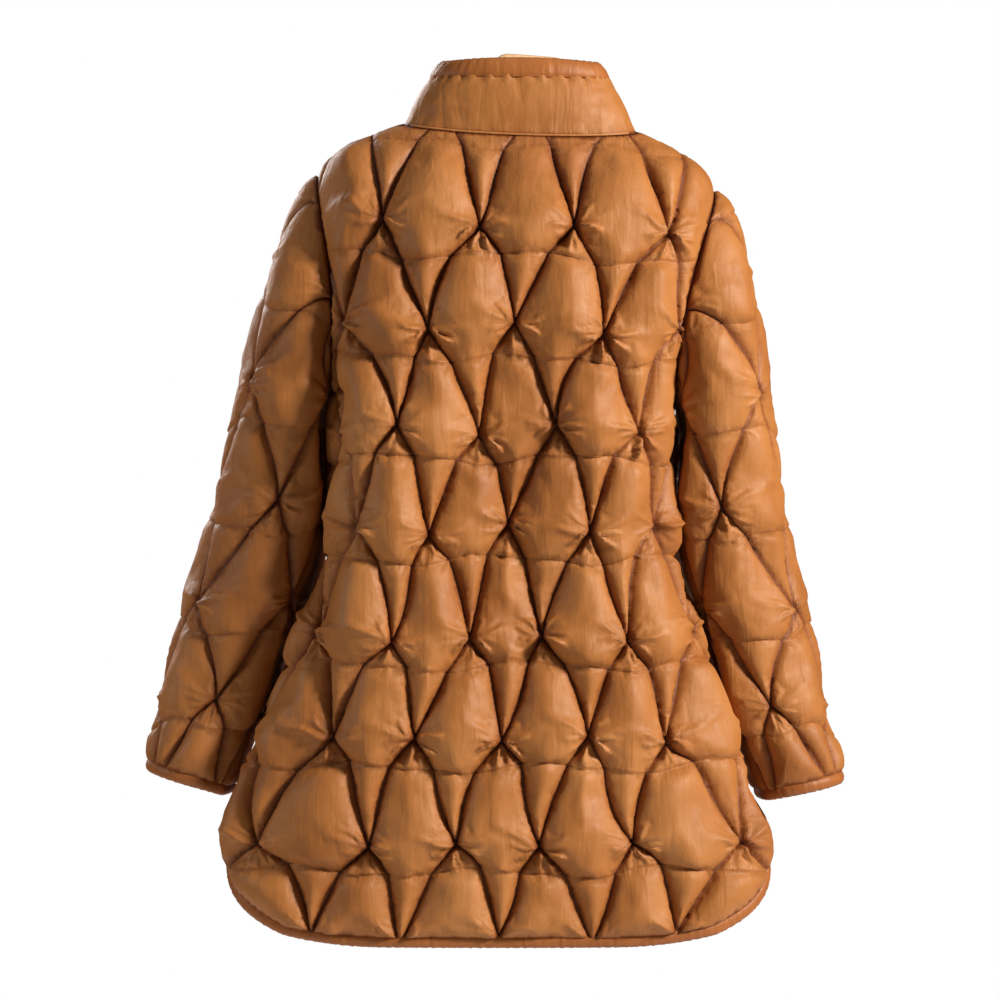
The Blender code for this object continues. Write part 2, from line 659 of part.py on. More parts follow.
def make_sleeve(side, material):
    """One sleeve, closed along the underarm seam."""
    outline = sleeve_outline(side)
    edge = SLEEVE_COLUMNS / 2
    shift = -0.006 if side == "right" else 0.0
    rows = [row + shift for row in SLEEVE_ROWS]
    seams = []
    for a, b in quilt_lines(rows, -edge, edge):
        a, b = np.array(a), np.array(b)
        if max(a[0], b[0]) <= -edge or min(a[0], b[0]) >= edge:
            continue
        seams.append(tuple(np.array((np.clip(p[0], -edge, edge), p[1])) for p in (a, b)))
    surface = sleeve_surface(side)
    width = SLEEVE_COLUMN_WIDTH
    scale = np.array([width, 1.0])
    true_seams = [(a * scale, b * scale) for a, b in seams]
    true_outline = outline * scale

    def laid(across, height):
        return surface(across / width, height)

    def raised(flat):
        away = puff_height(flat, true_seams, true_outline, rows, PUFF * 0.93)
        inner = np.clip((np.abs(flat[:, 0] / width) - 1.35) / 0.5, 0, 1)
        top = np.clip((flat[:, 1] - 0.40) / 0.10, 0, 1)
        _, cut = armhole_ring(side, wrapped(flat[:, 0] / width))
        near = np.clip((cut[:, 1] - flat[:, 1]) / 0.050, 0, 1)
        return away * (1 - 0.55 * inner) * (1 - 0.5 * inner * top) * (0.25 + 0.75 * near)

    return quilted_wall(
        f"sleeve_{side}", true_outline, true_seams, laid, raised, material, 0.0185, sleeve_facing(side),
        edge * width, plain_spacing=1.6,
    )


def sleeve_facing(side):
    """Whether a sleeve's columns run to the right or to the left as seen from outside."""
    return -1 if side == "right" else 1


def edge_frame(surface, path, facing):
    """Points on a surface along a path in its flat cut, with the ways out of the cloth and past its edge.

    The path runs with the cloth on its left.
    """
    run = np.gradient(path, axis=0)
    run /= np.linalg.norm(run, axis=1)[:, None]
    past = np.stack([run[:, 1], -run[:, 0]], axis=1)
    points = surface(path[:, 0], path[:, 1])
    step = 0.001
    beyond = surface(path[:, 0] + past[:, 0] * step, path[:, 1] + past[:, 1] * step) - points
    beyond /= np.linalg.norm(beyond, axis=1)[:, None]
    out = facing * normals_of(surface, path[:, 0], path[:, 1])
    return points, out, beyond


def bound_edge(name, frame, material, closed=False, width=BINDING_WIDTH, thick=BINDING_THICK):
    """A folded strip sewn over an edge: a flattened tube just past the panel's end."""
    points, out, beyond = frame
    middle = points - out * WALL / 2 + beyond * (width / 2 + SEAM_GAP)
    sides = 6
    rings = []
    for i in range(sides):
        angle = 2 * math.pi * i / sides
        rings.append(middle + beyond * (width / 2 * math.cos(angle)) + out * (thick / 2 * math.sin(angle)))
    grid = np.stack(rings, axis=1)
    count = len(grid)
    faces = []
    for i in range(count if closed else count - 1):
        j = (i + 1) % count
        for k in range(sides):
            m = (k + 1) % sides
            faces.append((i * sides + k, i * sides + m, j * sides + m, j * sides + k))
    if not closed:
        faces.append(tuple(range(sides)))
        faces.append(tuple(range((count - 1) * sides, count * sides)))
    mesh = bpy.data.meshes.new(name)
    mesh.from_pydata([tuple(p) for p in grid.reshape(-1, 3)], [], faces)
    return finish(name, mesh, material)


def thinned(path, spacing):
    """A path with its points about this far apart where it is straight, and all of them where it bends."""
    kept = [path[0]]
    for point, following in zip(path[1:-1], path[2:]):
        run, onward = point - kept[-1], following - point
        bend = abs(run[0] * onward[1] - run[1] * onward[0]) / np.linalg.norm(run) / np.linalg.norm(onward)
        if bend > 0.10 or np.linalg.norm(run) >= spacing:
            kept.append(point)
    return np.array(kept + [path[-1]])


def hem_path(face):
    """One side's slit edge and hem in the flat cut, from the slit's top to the hem's centre."""
    half = half_outline(face)
    edge = side_distance(VENT_HEIGHT, face)
    start = np.argmax((half[:, 1] < VENT_HEIGHT + 0.001) & (half[:, 0] > edge * 0.5))
    return half[start:]


def make_hem_bindings(material):
    """The bound slits and hem of the back, and of each front with its centre edge."""
    right = hem_path("back")
    left = right[-2::-1] * np.array([-1, 1])
    path = thinned(np.concatenate([right, left]), 0.017)[::-1]
    surface = lambda across, height: body_point(across, height, "back")
    bound_edge("binding_back", edge_frame(surface, path, 1), material)
    for side, upper in (("right", True), ("left", False)):
        outline = front_outline(upper)
        hem = hem_path("front")
        start = np.argmin(np.linalg.norm(outline - hem[0], axis=1))
        path = thinned(outline[start:], 0.017)
        path[-1][1] -= 0.004
        facing = -1 if side == "right" else 1
        frame = edge_frame(front_surface(side, upper), path[::-1], facing)
        bound_edge(f"binding_front_{side}", frame, material)


def make_cuff_binding(side, material):
    """The bound cuff."""
    columns = np.linspace(2, -2, 21)[:-1]
    path = np.stack([columns, cuff_height(side, columns)], axis=1)
    surface = sleeve_surface(side)
    points = surface(path[:, 0], path[:, 1])
    beyond = surface(path[:, 0], path[:, 1] - 0.002) - points
    beyond /= np.linalg.norm(beyond, axis=1)[:, None]
    width = SLEEVE_COLUMN_WIDTH
    out = sleeve_facing(side) * normals_of(
        lambda across, height: surface(across / width, height), path[:, 0] * width, path[:, 1]
    )
    bound_edge(f"binding_cuff_{side}", (points, out, beyond), material, closed=True)


def neck_cut(turn):
    """The neck seam in the flat cuts: turn is 0 at the centre back and +-1 at the centre front."""
    size = np.abs(turn)
    on_back = size <= NECK_SPLIT
    share = np.where(on_back, size / NECK_SPLIT, (1 - size) / (1 - NECK_SPLIT))[:, None]
    back, front = (
        [np.array(p, float) for p in neck_controls(face)] for face in ("back", "front")
    )
    a, b, c, d = (np.where(on_back[:, None], p, q) for p, q in zip(back, front))
    t = np.clip(share, 0, 1)
    cut = (1 - t) ** 3 * a + 3 * (1 - t) ** 2 * t * b + 3 * (1 - t) * t**2 * c + t**3 * d
    cut[:, 0] += np.minimum(share[:, 0], 0) * NECK_REACH
    cut[:, 1] += SEAM_GAP / 2
    return on_back, cut


def on_body(turn, cut, on_back, measure):
    """What measure(surface, across, height, facing) gives at places of the neck seam, panel by panel."""
    found = np.zeros((len(turn), 3))
    sign = np.where(turn < 0, -1, 1)
    panels = (
        (on_back, lambda across, height: body_point(across, height, "back"), 1, sign),
        (~on_back & (sign > 0), front_surface("right", True), -1, np.ones(len(turn))),
        (~on_back & (sign < 0), front_surface("left", False), 1, np.ones(len(turn))),
    )
    for chosen, surface, facing, mirror in panels:
        if chosen.any():
            across = cut[chosen, 0] * mirror[chosen]
            found[chosen] = measure(surface, across, cut[chosen, 1], facing)
    return found


def neck_line(turn):
    """The neck seam round the body."""
    on_back, cut = neck_cut(turn)
    return on_body(turn, cut, on_back, lambda surface, across, height, facing: surface(across, height))


def neck_normals(turn):
    """The body's way out at the neck seam."""
    on_back, cut = neck_cut(turn)
    return on_body(
        turn, cut, on_back,
        lambda surface, across, height, facing: facing * normals_of(surface, across, height - SEAM_GAP),
    )


def collar_surface(along, up):
    """The standing collar: along runs round it from the centre back, up is its height from the seam."""
    turn, rise = np.atleast_1d(along) / COLLAR_HALF_LENGTH, np.atleast_1d(up) / COLLAR_HEIGHT
    low = neck_line(turn)
    angle = turn * math.pi
    depth = np.where(np.cos(angle) > 0, COLLAR_TOP_BACK_DEPTH, COLLAR_TOP_FRONT_DEPTH)
    x = COLLAR_CENTRE + COLLAR_TOP_HALF * np.sign(np.sin(angle)) * np.abs(np.sin(angle)) ** 0.85
    y = -depth * np.sign(np.cos(angle)) * np.abs(np.cos(angle)) ** 0.85
    front = np.clip((np.abs(turn) - COLLAR_SLOPE_START) / (1 - COLLAR_SLOPE_START), 0, 1) ** 1.3
    z = COLLAR_TOP_BACK + (COLLAR_TOP_FRONT - COLLAR_TOP_BACK) * front - HANG_HEIGHT
    lifted = np.clip((turn - 0.70) / 0.16, 0, 1)
    y = y + OVERLAP_LIFT * lifted * lifted * (3 - 2 * lifted)
    high = np.stack([x, y, z], axis=1)
    return low + (high - low) * rise[:, None]


def through_collar(flat):
    """The way out through the collar's wall: the body's at the neck seam, so the walls end square."""
    own = normals_of(collar_surface, flat[:, 0], flat[:, 1])
    square = neck_normals(flat[:, 0] / COLLAR_HALF_LENGTH)
    near = np.clip(1 - flat[:, 1] / 0.018, 0, 1)[:, None]
    mixed = own * (1 - near) + square * near
    return mixed / np.linalg.norm(mixed, axis=1)[:, None]


def collar_outline():
    """The collar's flat cut: its lower end on the wearer's left, its upper end on the right."""
    left, right = -COLLAR_HALF_LENGTH * (1 + COLLAR_LAP), COLLAR_HALF_LENGTH * (1 + COLLAR_LAP)
    corner = 0.012
    top = COLLAR_HEIGHT - COLLAR_BINDING
    steps = np.linspace(0, 1, NECK_POINTS)
    half = np.concatenate([steps[1:] * NECK_SPLIT, 1 - steps[-2::-1] * (1 - NECK_SPLIT)]) * COLLAR_HALF_LENGTH
    low = np.concatenate([[left], -half[::-1], [0], half, [right]])
    high = np.linspace(right - corner, left + corner, 33)
    rise = np.array([top * 0.33, top * 0.66, top - corner])
    return np.concatenate([
        np.stack([low, 0 * low], axis=1),
        np.stack([0 * rise + right, rise], axis=1),
        np.stack([high, 0 * high + top], axis=1),
        np.stack([0 * rise + left, rise[::-1]], axis=1),
    ])


def make_collar(shell, trim):
    """The collar and its bound edge."""
    outline = collar_outline()

    def raised(flat):
        away = distance_to(flat, closed_edges(outline))
        low = np.clip(flat[:, 1] / 0.030, 0, 1)
        under_lap = np.clip((flat[:, 0] + COLLAR_HALF_LENGTH - 0.034) / 0.02, 0, 1)
        full = COLLAR_PUFF * np.sin(np.clip(away / 0.026, 0, 1) * math.pi / 2)
        return full * (0.1 + 0.9 * low) * under_lap

    quilted_wall("collar", outline, [], collar_surface, raised, shell, 0.0190, through=through_collar)
    low_left = np.argmin(np.abs(outline[:, 0] - outline[:, 0].max()) + np.abs(outline[:, 1]))
    path = np.concatenate([outline[low_left:], outline[:1]])
    path[0][1] += 0.003
    path[-1][1] += 0.003
    frame = edge_frame(collar_surface, thinned(path, 0.010), 1)
    bound_edge("binding_collar", frame, trim, width=COLLAR_BINDING, thick=BINDING_THICK)


def make_studs(material):
    """Press-stud caps down the centre front, each standing on the upper front."""
    surface = front_surface("right", True)
    heights = np.linspace(STUD_TOP, STUD_LOW, STUD_COUNT)
    for i, height in enumerate(heights):
        at = np.array([0.0]), np.array([height])
        out = Vector(-normals_of(surface, *at)[0])
        place = Vector(surface(*at)[0]) + out * STUD_CLEAR
        shape = bmesh.new()
        profile = ((0.0, 0.0), (STUD_RADIUS, 0.0), (STUD_RADIUS * 1.02, STUD_THICK * 0.45),
                   (STUD_RADIUS * 0.78, STUD_THICK * 0.92), (0.0, STUD_THICK))
        corners = [shape.verts.new((r, 0, z)) for r, z in profile]
        for a, b in zip(corners, corners[1:]):
            shape.edges.new((a, b))
        bmesh.ops.spin(shape, geom=shape.verts[:] + shape.edges[:], cent=(0, 0, 0), axis=(0, 0, 1),
                       angle=2 * math.pi, steps=12, use_merge=True)
        bmesh.ops.remove_doubles(shape, verts=shape.verts, dist=1e-5)
        turn = out.to_track_quat("Z", "Y").to_matrix().to_4x4()
        bmesh.ops.transform(shape, matrix=Matrix.Translation(place) @ turn, verts=shape.verts)
        mesh = bpy.data.meshes.new(f"stud_{i + 1}")
        shape.to_mesh(mesh)
        shape.free()
        finish(mesh.name, mesh, material)


def ridge_height(x):
    """Height of the shoulder seam over a place in x, from the hem."""
    heights = np.linspace(SHOULDER_HEIGHT, 0.790, 60)
    side = 1 if x > smooth(BODY_RINGS, 1, 0.75) else -1
    reach = smooth(BODY_RINGS, 1, heights) + side * smooth(BODY_RINGS, 2, heights)
    at = heights + smooth(BODY_RINGS, 6, heights) * side * smooth(BODY_RINGS, 2, heights)
    order = np.argsort(reach)
    return float(np.interp(x, reach[order], at[order]))


def make_hanger(material):
    """The wooden hanger: a neck that shows over the collar, and two arms that the shoulders lie on."""
    sections = []
    for x in np.linspace(-HANGER_HALF_SPAN, HANGER_HALF_SPAN, 33):
        share = abs(x) / HANGER_HALF_SPAN
        round_end = math.sqrt(max(0.0, 1 - (max(0.0, share - 0.93) / 0.07) ** 2))
        half_depth = HANGER_ARM_DEPTH / 2 * (1 - 0.35 * share) * (0.3 + 0.7 * round_end)
        arm_top = ridge_height(x) - WALL - HANGER_SEAT - HANG_HEIGHT - HANGER_DROOP * share**2
        arm_low = arm_top - 2 * half_depth
        neck = np.clip((HANGER_NECK_FOOT - abs(x)) / (HANGER_NECK_FOOT - HANGER_NECK_HALF), 0, 1)
        crown = -math.tan(HANGER_TILT) * x - 0.004 * max(0.0, abs(x) / HANGER_NECK_HALF - 0.7) ** 2
        top = arm_top + (crown - arm_top) * neck**0.55
        low = arm_low + 0.012 * math.cos(min(1.0, share / 0.5) * math.pi / 2)
        half_thick = HANGER_THICK / 2 * (0.55 + 0.45 * round_end)
        middle, half = (top + low) / 2, (top - low) / 2
        ring = []
        for i in range(HANGER_SIDES):
            angle = 2 * math.pi * (i + 0.5) / HANGER_SIDES
            c, s = math.cos(angle), math.sin(angle)
            edge = min(half, half_thick * 1.1)
            z = middle + math.copysign(half - edge + edge * abs(s) ** 0.8, s)
            ring.append((x, half_thick * math.copysign(abs(c) ** 0.8, c), z))
        sections.append(ring)
    points = [p for ring in sections for p in ring]
    faces = []
    for i in range(len(sections) - 1):
        for k in range(HANGER_SIDES):
            m = (k + 1) % HANGER_SIDES
            a, b = i * HANGER_SIDES, (i + 1) * HANGER_SIDES
            faces.append((a + k, a + m, b + m, b + k))
    faces.append(tuple(range(HANGER_SIDES)))
    faces.append(tuple(range(len(points) - HANGER_SIDES, len(points))))
    mesh = bpy.data.meshes.new("hanger")
    mesh.from_pydata(points, [], faces)
    return finish("hanger", mesh, material)


SHELL = make_material("caramel nylon", (0.43, 0.17, 0.052), 0.42)
TRIM = make_material("caramel binding", (0.36, 0.135, 0.040), 0.40)

for old in list(bpy.data.objects):
    bpy.data.objects.remove(old)
make_back(SHELL)
make_front("right", True, SHELL)
make_front("left", False, SHELL)
make_sleeve("left", SHELL)
make_sleeve("right", SHELL)
make_hem_bindings(TRIM)
make_cuff_binding("left", TRIM)
make_cuff_binding("right", TRIM)
make_collar(SHELL, TRIM)
STUD = make_material("bronze stud", (0.16, 0.10, 0.06), 0.35, 0.9)
make_studs(STUD)
make_hanger(make_material("pale beech", (0.68, 0.45, 0.24), 0.45))
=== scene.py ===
import json
import math
import random
import time

import bmesh
import bpy
import numpy as np
from mathutils import Matrix, Vector
from mathutils.geometry import delaunay_2d_cdt
from mathutils.kdtree import KDTree

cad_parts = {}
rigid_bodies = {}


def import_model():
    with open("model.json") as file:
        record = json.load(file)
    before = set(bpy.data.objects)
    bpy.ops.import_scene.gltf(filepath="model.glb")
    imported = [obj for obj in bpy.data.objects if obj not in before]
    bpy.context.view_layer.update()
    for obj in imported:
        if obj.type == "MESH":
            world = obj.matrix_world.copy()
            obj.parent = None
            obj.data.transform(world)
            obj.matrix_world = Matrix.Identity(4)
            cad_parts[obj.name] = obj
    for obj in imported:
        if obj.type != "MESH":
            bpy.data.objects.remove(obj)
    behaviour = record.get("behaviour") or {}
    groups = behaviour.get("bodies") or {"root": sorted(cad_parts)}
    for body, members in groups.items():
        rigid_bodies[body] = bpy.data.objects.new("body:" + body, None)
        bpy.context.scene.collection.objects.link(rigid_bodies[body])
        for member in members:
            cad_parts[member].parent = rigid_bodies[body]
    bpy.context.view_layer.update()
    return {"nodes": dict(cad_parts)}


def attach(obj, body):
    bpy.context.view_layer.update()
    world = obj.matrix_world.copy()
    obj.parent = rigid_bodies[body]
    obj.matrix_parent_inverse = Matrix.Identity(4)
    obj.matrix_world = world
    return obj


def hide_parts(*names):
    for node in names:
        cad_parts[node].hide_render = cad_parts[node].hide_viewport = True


startedAt = time.time()


def report(stage):
    print(f"{time.time() - startedAt:6.1f} s  {stage}")


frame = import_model()
report("frame loaded")

# The coat's form, as the pattern cutter drew it: heights are above the bottom of the bound hem.
coat = {
    "hangHeight": 0.840,
    "hemEdge": 0.0095,
    "wall": 0.0028,
    "seamGap": 0.0005,
    "armholeGap": 0.0009,
    "underarm": 0.517,
    "shoulder": 0.7200,
    "sideNeck": 0.772,
    "backNeck": 0.758,
    "frontNeck": 0.702,
    "slit": 0.150,
    "slitEdge": 0.0118,
    "slitStart": 0.012,  # the edges part over this height
    "cornerRadius": 0.066,
    "hemRise": 0.0215,
    "hemLevel": 0.11,  # the hem is level this far to each side, and then bends up over hemBend
    "hemBend": 0.14,
    "overlap": 0.018,
    "overlapLift": 0.0075,  # the upper front stands off the lower one by this at its edge, and less further in
    "liftFrom": 0.068,
    "liftOver": 0.036,
    "armholeWidth": 0.178,
    "sleeveClear": 0.0165,
}

# height, centre in x, half width, back depth, front depth, squareness, roll to the lower shoulder
bodyRings = (
    (-0.030, -0.031, 0.259, 0.076, 0.086, 2.5, 0.000),
    (0.090, -0.033, 0.254, 0.080, 0.090, 2.5, 0.000),
    (0.136, -0.037, 0.241, 0.082, 0.091, 2.45, 0.000),
    (0.174, -0.035, 0.226, 0.083, 0.092, 2.4, 0.000),
    (0.273, -0.031, 0.191, 0.082, 0.093, 2.3, 0.000),
    (0.330, -0.030, 0.168, 0.080, 0.093, 2.25, 0.000),
    (0.381, -0.030, 0.157, 0.080, 0.094, 2.25, 0.000),
    (0.475, -0.029, 0.160, 0.090, 0.106, 2.3, -0.005),
    (0.517, -0.028, 0.162, 0.093, 0.108, 2.3, -0.012),
    (0.570, -0.025, 0.175, 0.094, 0.106, 2.35, -0.020),
    (0.620, -0.021, 0.188, 0.092, 0.099, 2.4, -0.028),
    (0.667, -0.018, 0.194, 0.086, 0.086, 2.4, -0.034),
    (0.700, -0.016, 0.191, 0.077, 0.075, 2.35, -0.037),
    (0.720, -0.015, 0.186, 0.070, 0.068, 2.3, -0.038),
    (0.732, -0.014, 0.180, 0.065, 0.064, 2.25, -0.038),
    (0.745, -0.013, 0.164, 0.060, 0.059, 2.2, -0.037),
    (0.758, -0.012, 0.139, 0.055, 0.055, 2.15, -0.036),
    (0.772, -0.011, 0.106, 0.050, 0.051, 2.1, -0.035),
    (0.800, -0.011, 0.060, 0.040, 0.040, 2.0, -0.035),
)

# height of each row of crossings, and the width of a diamond there
quiltRows = (
    (0.778, 0.087),
    (0.668, 0.087),
    (0.575, 0.080),
    (0.482, 0.075),
    (0.390, 0.072),
    (0.289, 0.074),
    (0.197, 0.078),
    (0.098, 0.084),
    (0.009, 0.087),
    (-0.080, 0.087),
)
capShare = 0.28  # the cross seams lie this share of a row below the crossings

# The coat was quilted by eye and hangs unevenly: its rows of diamonds wander off the form's middle.
wander = {
    # height, and how far the back's middle column is to the side there
    "middle": (
        (0.009, -0.004), (0.098, 0.002), (0.197, 0.005), (0.390, 0.008),
        (0.482, 0.014), (0.575, 0.009), (0.778, 0.010),
    ),
    "across": 0.0034,
    "down": 0.0046,
    "length": 0.030,  # over which the wandering changes
}


def unit(values):
    return np.clip(values, 0, 1)


def stacked(*columns):
    return np.stack(columns, axis=1)


def unitRows(vectors):
    return vectors / np.linalg.norm(vectors, axis=1)[:, None]


def smooth(table, column, at):
    # a smooth curve through one column of a table, whose first column is the height
    rows = sorted(table)
    x = np.array([row[0] for row in rows])
    y = np.array([row[column] for row in rows])
    slope = np.gradient(y, x)
    at = np.clip(np.asarray(at, float), x[0], x[-1])
    i = np.clip(np.searchsorted(x, at) - 1, 0, len(x) - 2)
    step = x[i + 1] - x[i]
    t = (at - x[i]) / step
    return (
        (2 * t**3 - 3 * t**2 + 1) * y[i]
        + (t**3 - 2 * t**2 + t) * step * slope[i]
        + (3 * t**2 - 2 * t**3) * y[i + 1]
        + (t**3 - t**2) * step * slope[i + 1]
    )


def halfRing(height, samples=97):
    height = np.atleast_1d(height)
    half, back, front, square = (smooth(bodyRings, c, height)[:, None] for c in (2, 3, 4, 5))
    angle = np.linspace(0, math.pi, samples)[None, :]
    power = 2 / square
    x = half * np.abs(np.sin(angle)) ** power
    y = np.where(angle < math.pi / 2, -back, front) * np.abs(np.cos(angle)) ** power
    run = np.hypot(np.diff(x, axis=1), np.diff(y, axis=1))
    distance = np.concatenate([np.zeros((len(height), 1)), np.cumsum(run, axis=1)], axis=1)
    return x, y, distance


def sideDistance(height, face):
    distance = halfRing(height)[2]
    side = distance[:, distance.shape[1] // 2]
    found = side if face == "back" else distance[:, -1] - side
    return found if np.ndim(height) else float(found[0])


def bodyPoint(across, height, face):
    # the form's surface: the way round from the centre line, and the height above the hem
    across, height = np.atleast_1d(across).astype(float), np.atleast_1d(height).astype(float)
    x, y, distance = halfRing(height)
    along = np.abs(across) if face == "back" else distance[:, -1] - np.abs(across)
    column = np.clip((distance < along[:, None]).sum(axis=1), 1, distance.shape[1] - 1)
    row = np.arange(len(height))
    low, high = distance[row, column - 1], distance[row, column]
    share = (along - low) / np.maximum(high - low, 1e-9)
    px = np.where(across < 0, -1.0, 1.0) * (x[row, column - 1] + share * (x[row, column] - x[row, column - 1]))
    py = y[row, column - 1] + share * (y[row, column] - y[row, column - 1])
    pz = height + smooth(bodyRings, 6, height) * px - coat["hangHeight"]
    return stacked(px + smooth(bodyRings, 1, height), py, pz)


def normalsOf(surface, across, height, step=0.0015):
    right = surface(across + step, height) - surface(across - step, height)
    up = surface(across, height + step) - surface(across, height - step)
    return unitRows(np.cross(right, up))


def bezierAt(t, controls):
    a, b, c, d = (np.array(p, float) for p in controls)
    return (1 - t) ** 3 * a + 3 * (1 - t) ** 2 * t * b + 3 * (1 - t) * t**2 * c + t**3 * d


def bezier(controls, count):
    return bezierAt(np.linspace(0, 1, count)[:, None], controls)


def armholeControls(face):
    return (
        (sideDistance(coat["shoulder"], face), coat["shoulder"]),
        (coat["armholeWidth"] - 0.004, coat["shoulder"] - 0.040),
        (coat["armholeWidth"] - 0.026, coat["underarm"] + 0.006),
        (sideDistance(coat["underarm"], face), coat["underarm"]),
    )


def neckControls(face):
    low = coat["backNeck"] if face == "back" else coat["frontNeck"]
    side = sideDistance(coat["sideNeck"], face)
    if face == "back":
        return ((0, low), (side * 0.55, low), (side * 0.9, low + 0.006), (side, coat["sideNeck"]))
    return ((0, low), (side * 0.60, low), (side * 0.72, low + 0.045), (side, coat["sideNeck"]))


def hemHeight(across):
    bend = np.clip((np.abs(across) - coat["hemLevel"]) / coat["hemBend"], 0, None)
    return coat["hemEdge"] + coat["hemRise"] * bend**2


def sideEdge(face, heights):
    half = coat["seamGap"] / 2
    edge = sideDistance(heights, face) - half
    slit = unit((coat["slit"] + coat["slitStart"] - heights) / coat["slitStart"])
    return edge - slit * (coat["slitEdge"] - half)


def hemCorner(face):
    edge = float(sideEdge(face, np.array([coat["cornerRadius"] + 0.030]))[0])
    low = hemHeight(edge)
    inner = edge - coat["cornerRadius"] * 1.1
    start, end = (edge, low + coat["cornerRadius"]), (inner, hemHeight(inner))
    return bezier((start, (edge, low + 0.020), (edge - 0.026, low - 0.002), end), 12)


def halfOutline(face):
    neck = bezier(neckControls(face), 19)
    neck[:, 1] -= coat["seamGap"] / 2
    heights = np.linspace(coat["sideNeck"] - coat["seamGap"], coat["shoulder"] + coat["seamGap"], 12)
    shoulder = stacked(sideDistance(heights, face) - coat["seamGap"] / 2, heights)
    armhole = bezier(armholeControls(face), 37)[1:-1]
    corner = hemCorner(face)
    heights = np.concatenate([
        np.linspace(coat["underarm"], coat["slit"] + 0.014, 40),
        np.linspace(coat["slit"], corner[0][1] + 0.010, 6),
    ])
    side = stacked(sideEdge(face, heights), heights)
    hemAcross = np.linspace(corner[-1][0], 0, 20)[1:]
    hem = stacked(hemAcross, hemHeight(hemAcross))
    return np.concatenate([neck[:-1], shoulder, armhole, side, corner, hem])


def backOutline():
    right = halfOutline("back")
    return np.concatenate([right, right[-2:0:-1] * np.array([-1, 1])])


def frontOutline(upper):
    half = halfOutline("front")
    edge = -coat["overlap"] if upper else -coat["overlap"] + 0.002
    neckEnd = np.array([[edge, half[0][1]]])
    body = half[(half[:, 0] > 0.030) | (half[:, 1] > coat["frontNeck"] - 0.01)]
    if upper:
        corner = bezier(((0.020, 0), (0.0, 0), (edge, 0.014), (edge, 0.045)), 9)
    else:
        corner = np.array([[0.010, 0.0], [edge, 0.0], [edge, 0.020], [edge, 0.040]])
    corner = corner + (0, coat["hemEdge"])
    heights = np.arange(0.060, half[0][1] - 0.006, 0.022)
    straight = stacked(np.full(len(heights), edge), heights)
    return np.concatenate([body, corner, straight, neckEnd])


def wandered(flat, face):
    # how far the quilting has moved from its even layout: two slow waves, one bent by the other
    heights, middles = zip(*wander["middle"])
    middle = np.interp(flat[:, 1], heights, middles) if face == "back" else 0.0
    a, h = flat[:, 0] / wander["length"], flat[:, 1] / wander["length"]
    across = np.sin(0.9 * h + 1.7 * np.sin(0.61 * a + 0.5)) + 0.5 * np.sin(1.9 * a + 0.8 * h)
    down = np.sin(1.1 * a + 0.9 + 1.3 * np.sin(0.7 * h)) + 0.4 * np.sin(2.3 * a - 1.2 * h)
    return stacked(middle + wander["across"] * across, wander["down"] * down)


def diamondAcross(column, height, face):
    width = smooth(quiltRows, 1, height)
    side = sideDistance(height, face)
    outer = np.where(height > coat["underarm"], width, np.maximum(side - 2 * width, 0.04))
    size = np.abs(column)
    return np.sign(column) * (np.minimum(size, 2) * width + np.maximum(size - 2, 0) * outer)


def quiltLines(rows, firstColumn, lastColumn):
    # each line is (start, end, kind): a diagonal between crossings or a cross seam
    lines = []
    for k, (top, low) in enumerate(zip(rows[:-1], rows[1:])):
        cap = top - capShare * (top - low)
        for column in np.arange(firstColumn - 1, lastColumn + 2) + 0.5 * (k % 2):
            for lean in (-1, 1):
                knee = np.array((column + lean * 0.25, cap))
                lines.append((np.array((column, top)), knee, "diagonal"))
                lines.append((knee, np.array((column + lean * 0.5, low)), "diagonal"))
        for column in np.arange(firstColumn - 1, lastColumn + 1, 0.25):
            lines.append((np.array((column, cap)), np.array((column + 0.25, cap)), "cross"))
    return lines


def divided(start, end, spacing):
    count = max(1, math.ceil(np.linalg.norm(end - start) / spacing))
    return [start + (end - start) * i / count for i in range(count + 1)]


def bodySeams(face, spacing):
    seams = []
    for a, b, kind in quiltLines([row[0] for row in quiltRows], -3, 3):
        steps = max(1, math.ceil(max(abs(b[1] - a[1]), abs(b[0] - a[0]) * 0.08) / spacing))
        places = [a + (b - a) * i / steps for i in range(steps + 1)]
        columns, heights = np.array([p[0] for p in places]), np.array([p[1] for p in places])
        run = stacked(diamondAcross(columns, heights, face), heights)
        run += wandered(run, face)
        seams += [(p, q, kind) for p, q in zip(run[:-1], run[1:])]
    return seams


def inside(points, outline):
    x, y = points[:, 0][:, None], points[:, 1][:, None]
    x0, y0 = outline[:, 0], outline[:, 1]
    x1, y1 = np.roll(x0, -1), np.roll(y0, -1)
    with np.errstate(divide="ignore", invalid="ignore"):
        at = x0 + (y - y0) * (x1 - x0) / (y1 - y0)
    return (((y0 > y) != (y1 > y)) & (x < at)).sum(axis=1) % 2 == 1


def distanceTo(points, segments):
    best = np.full(len(points), np.inf)
    for start, end in segments:
        run = end - start
        t = unit(((points - start) @ run) / max(run @ run, 1e-12))
        best = np.minimum(best, np.linalg.norm(points - start - t[:, None] * run, axis=1))
    return best


def closedEdges(outline):
    return list(zip(outline, np.roll(outline, -1, axis=0)))


def keyOf(point):
    return (round(float(point[0]), 7), round(float(point[1]), 7))


def seamSides(seams, distance):
    # places set out evenly on both sides of each seam, so that the cloth turns down into it cleanly
    sides = []
    for a, b in seams:
        run = b - a
        aside = np.array((-run[1], run[0])) / max(np.linalg.norm(run), 1e-9) * distance
        sides += [a + run * share + aside * sign for share in (0.25, 0.75) for sign in (-1, 1)]
    return np.array(sides)


evenRows = 0.866  # rows of even triangles are this share of their sides apart


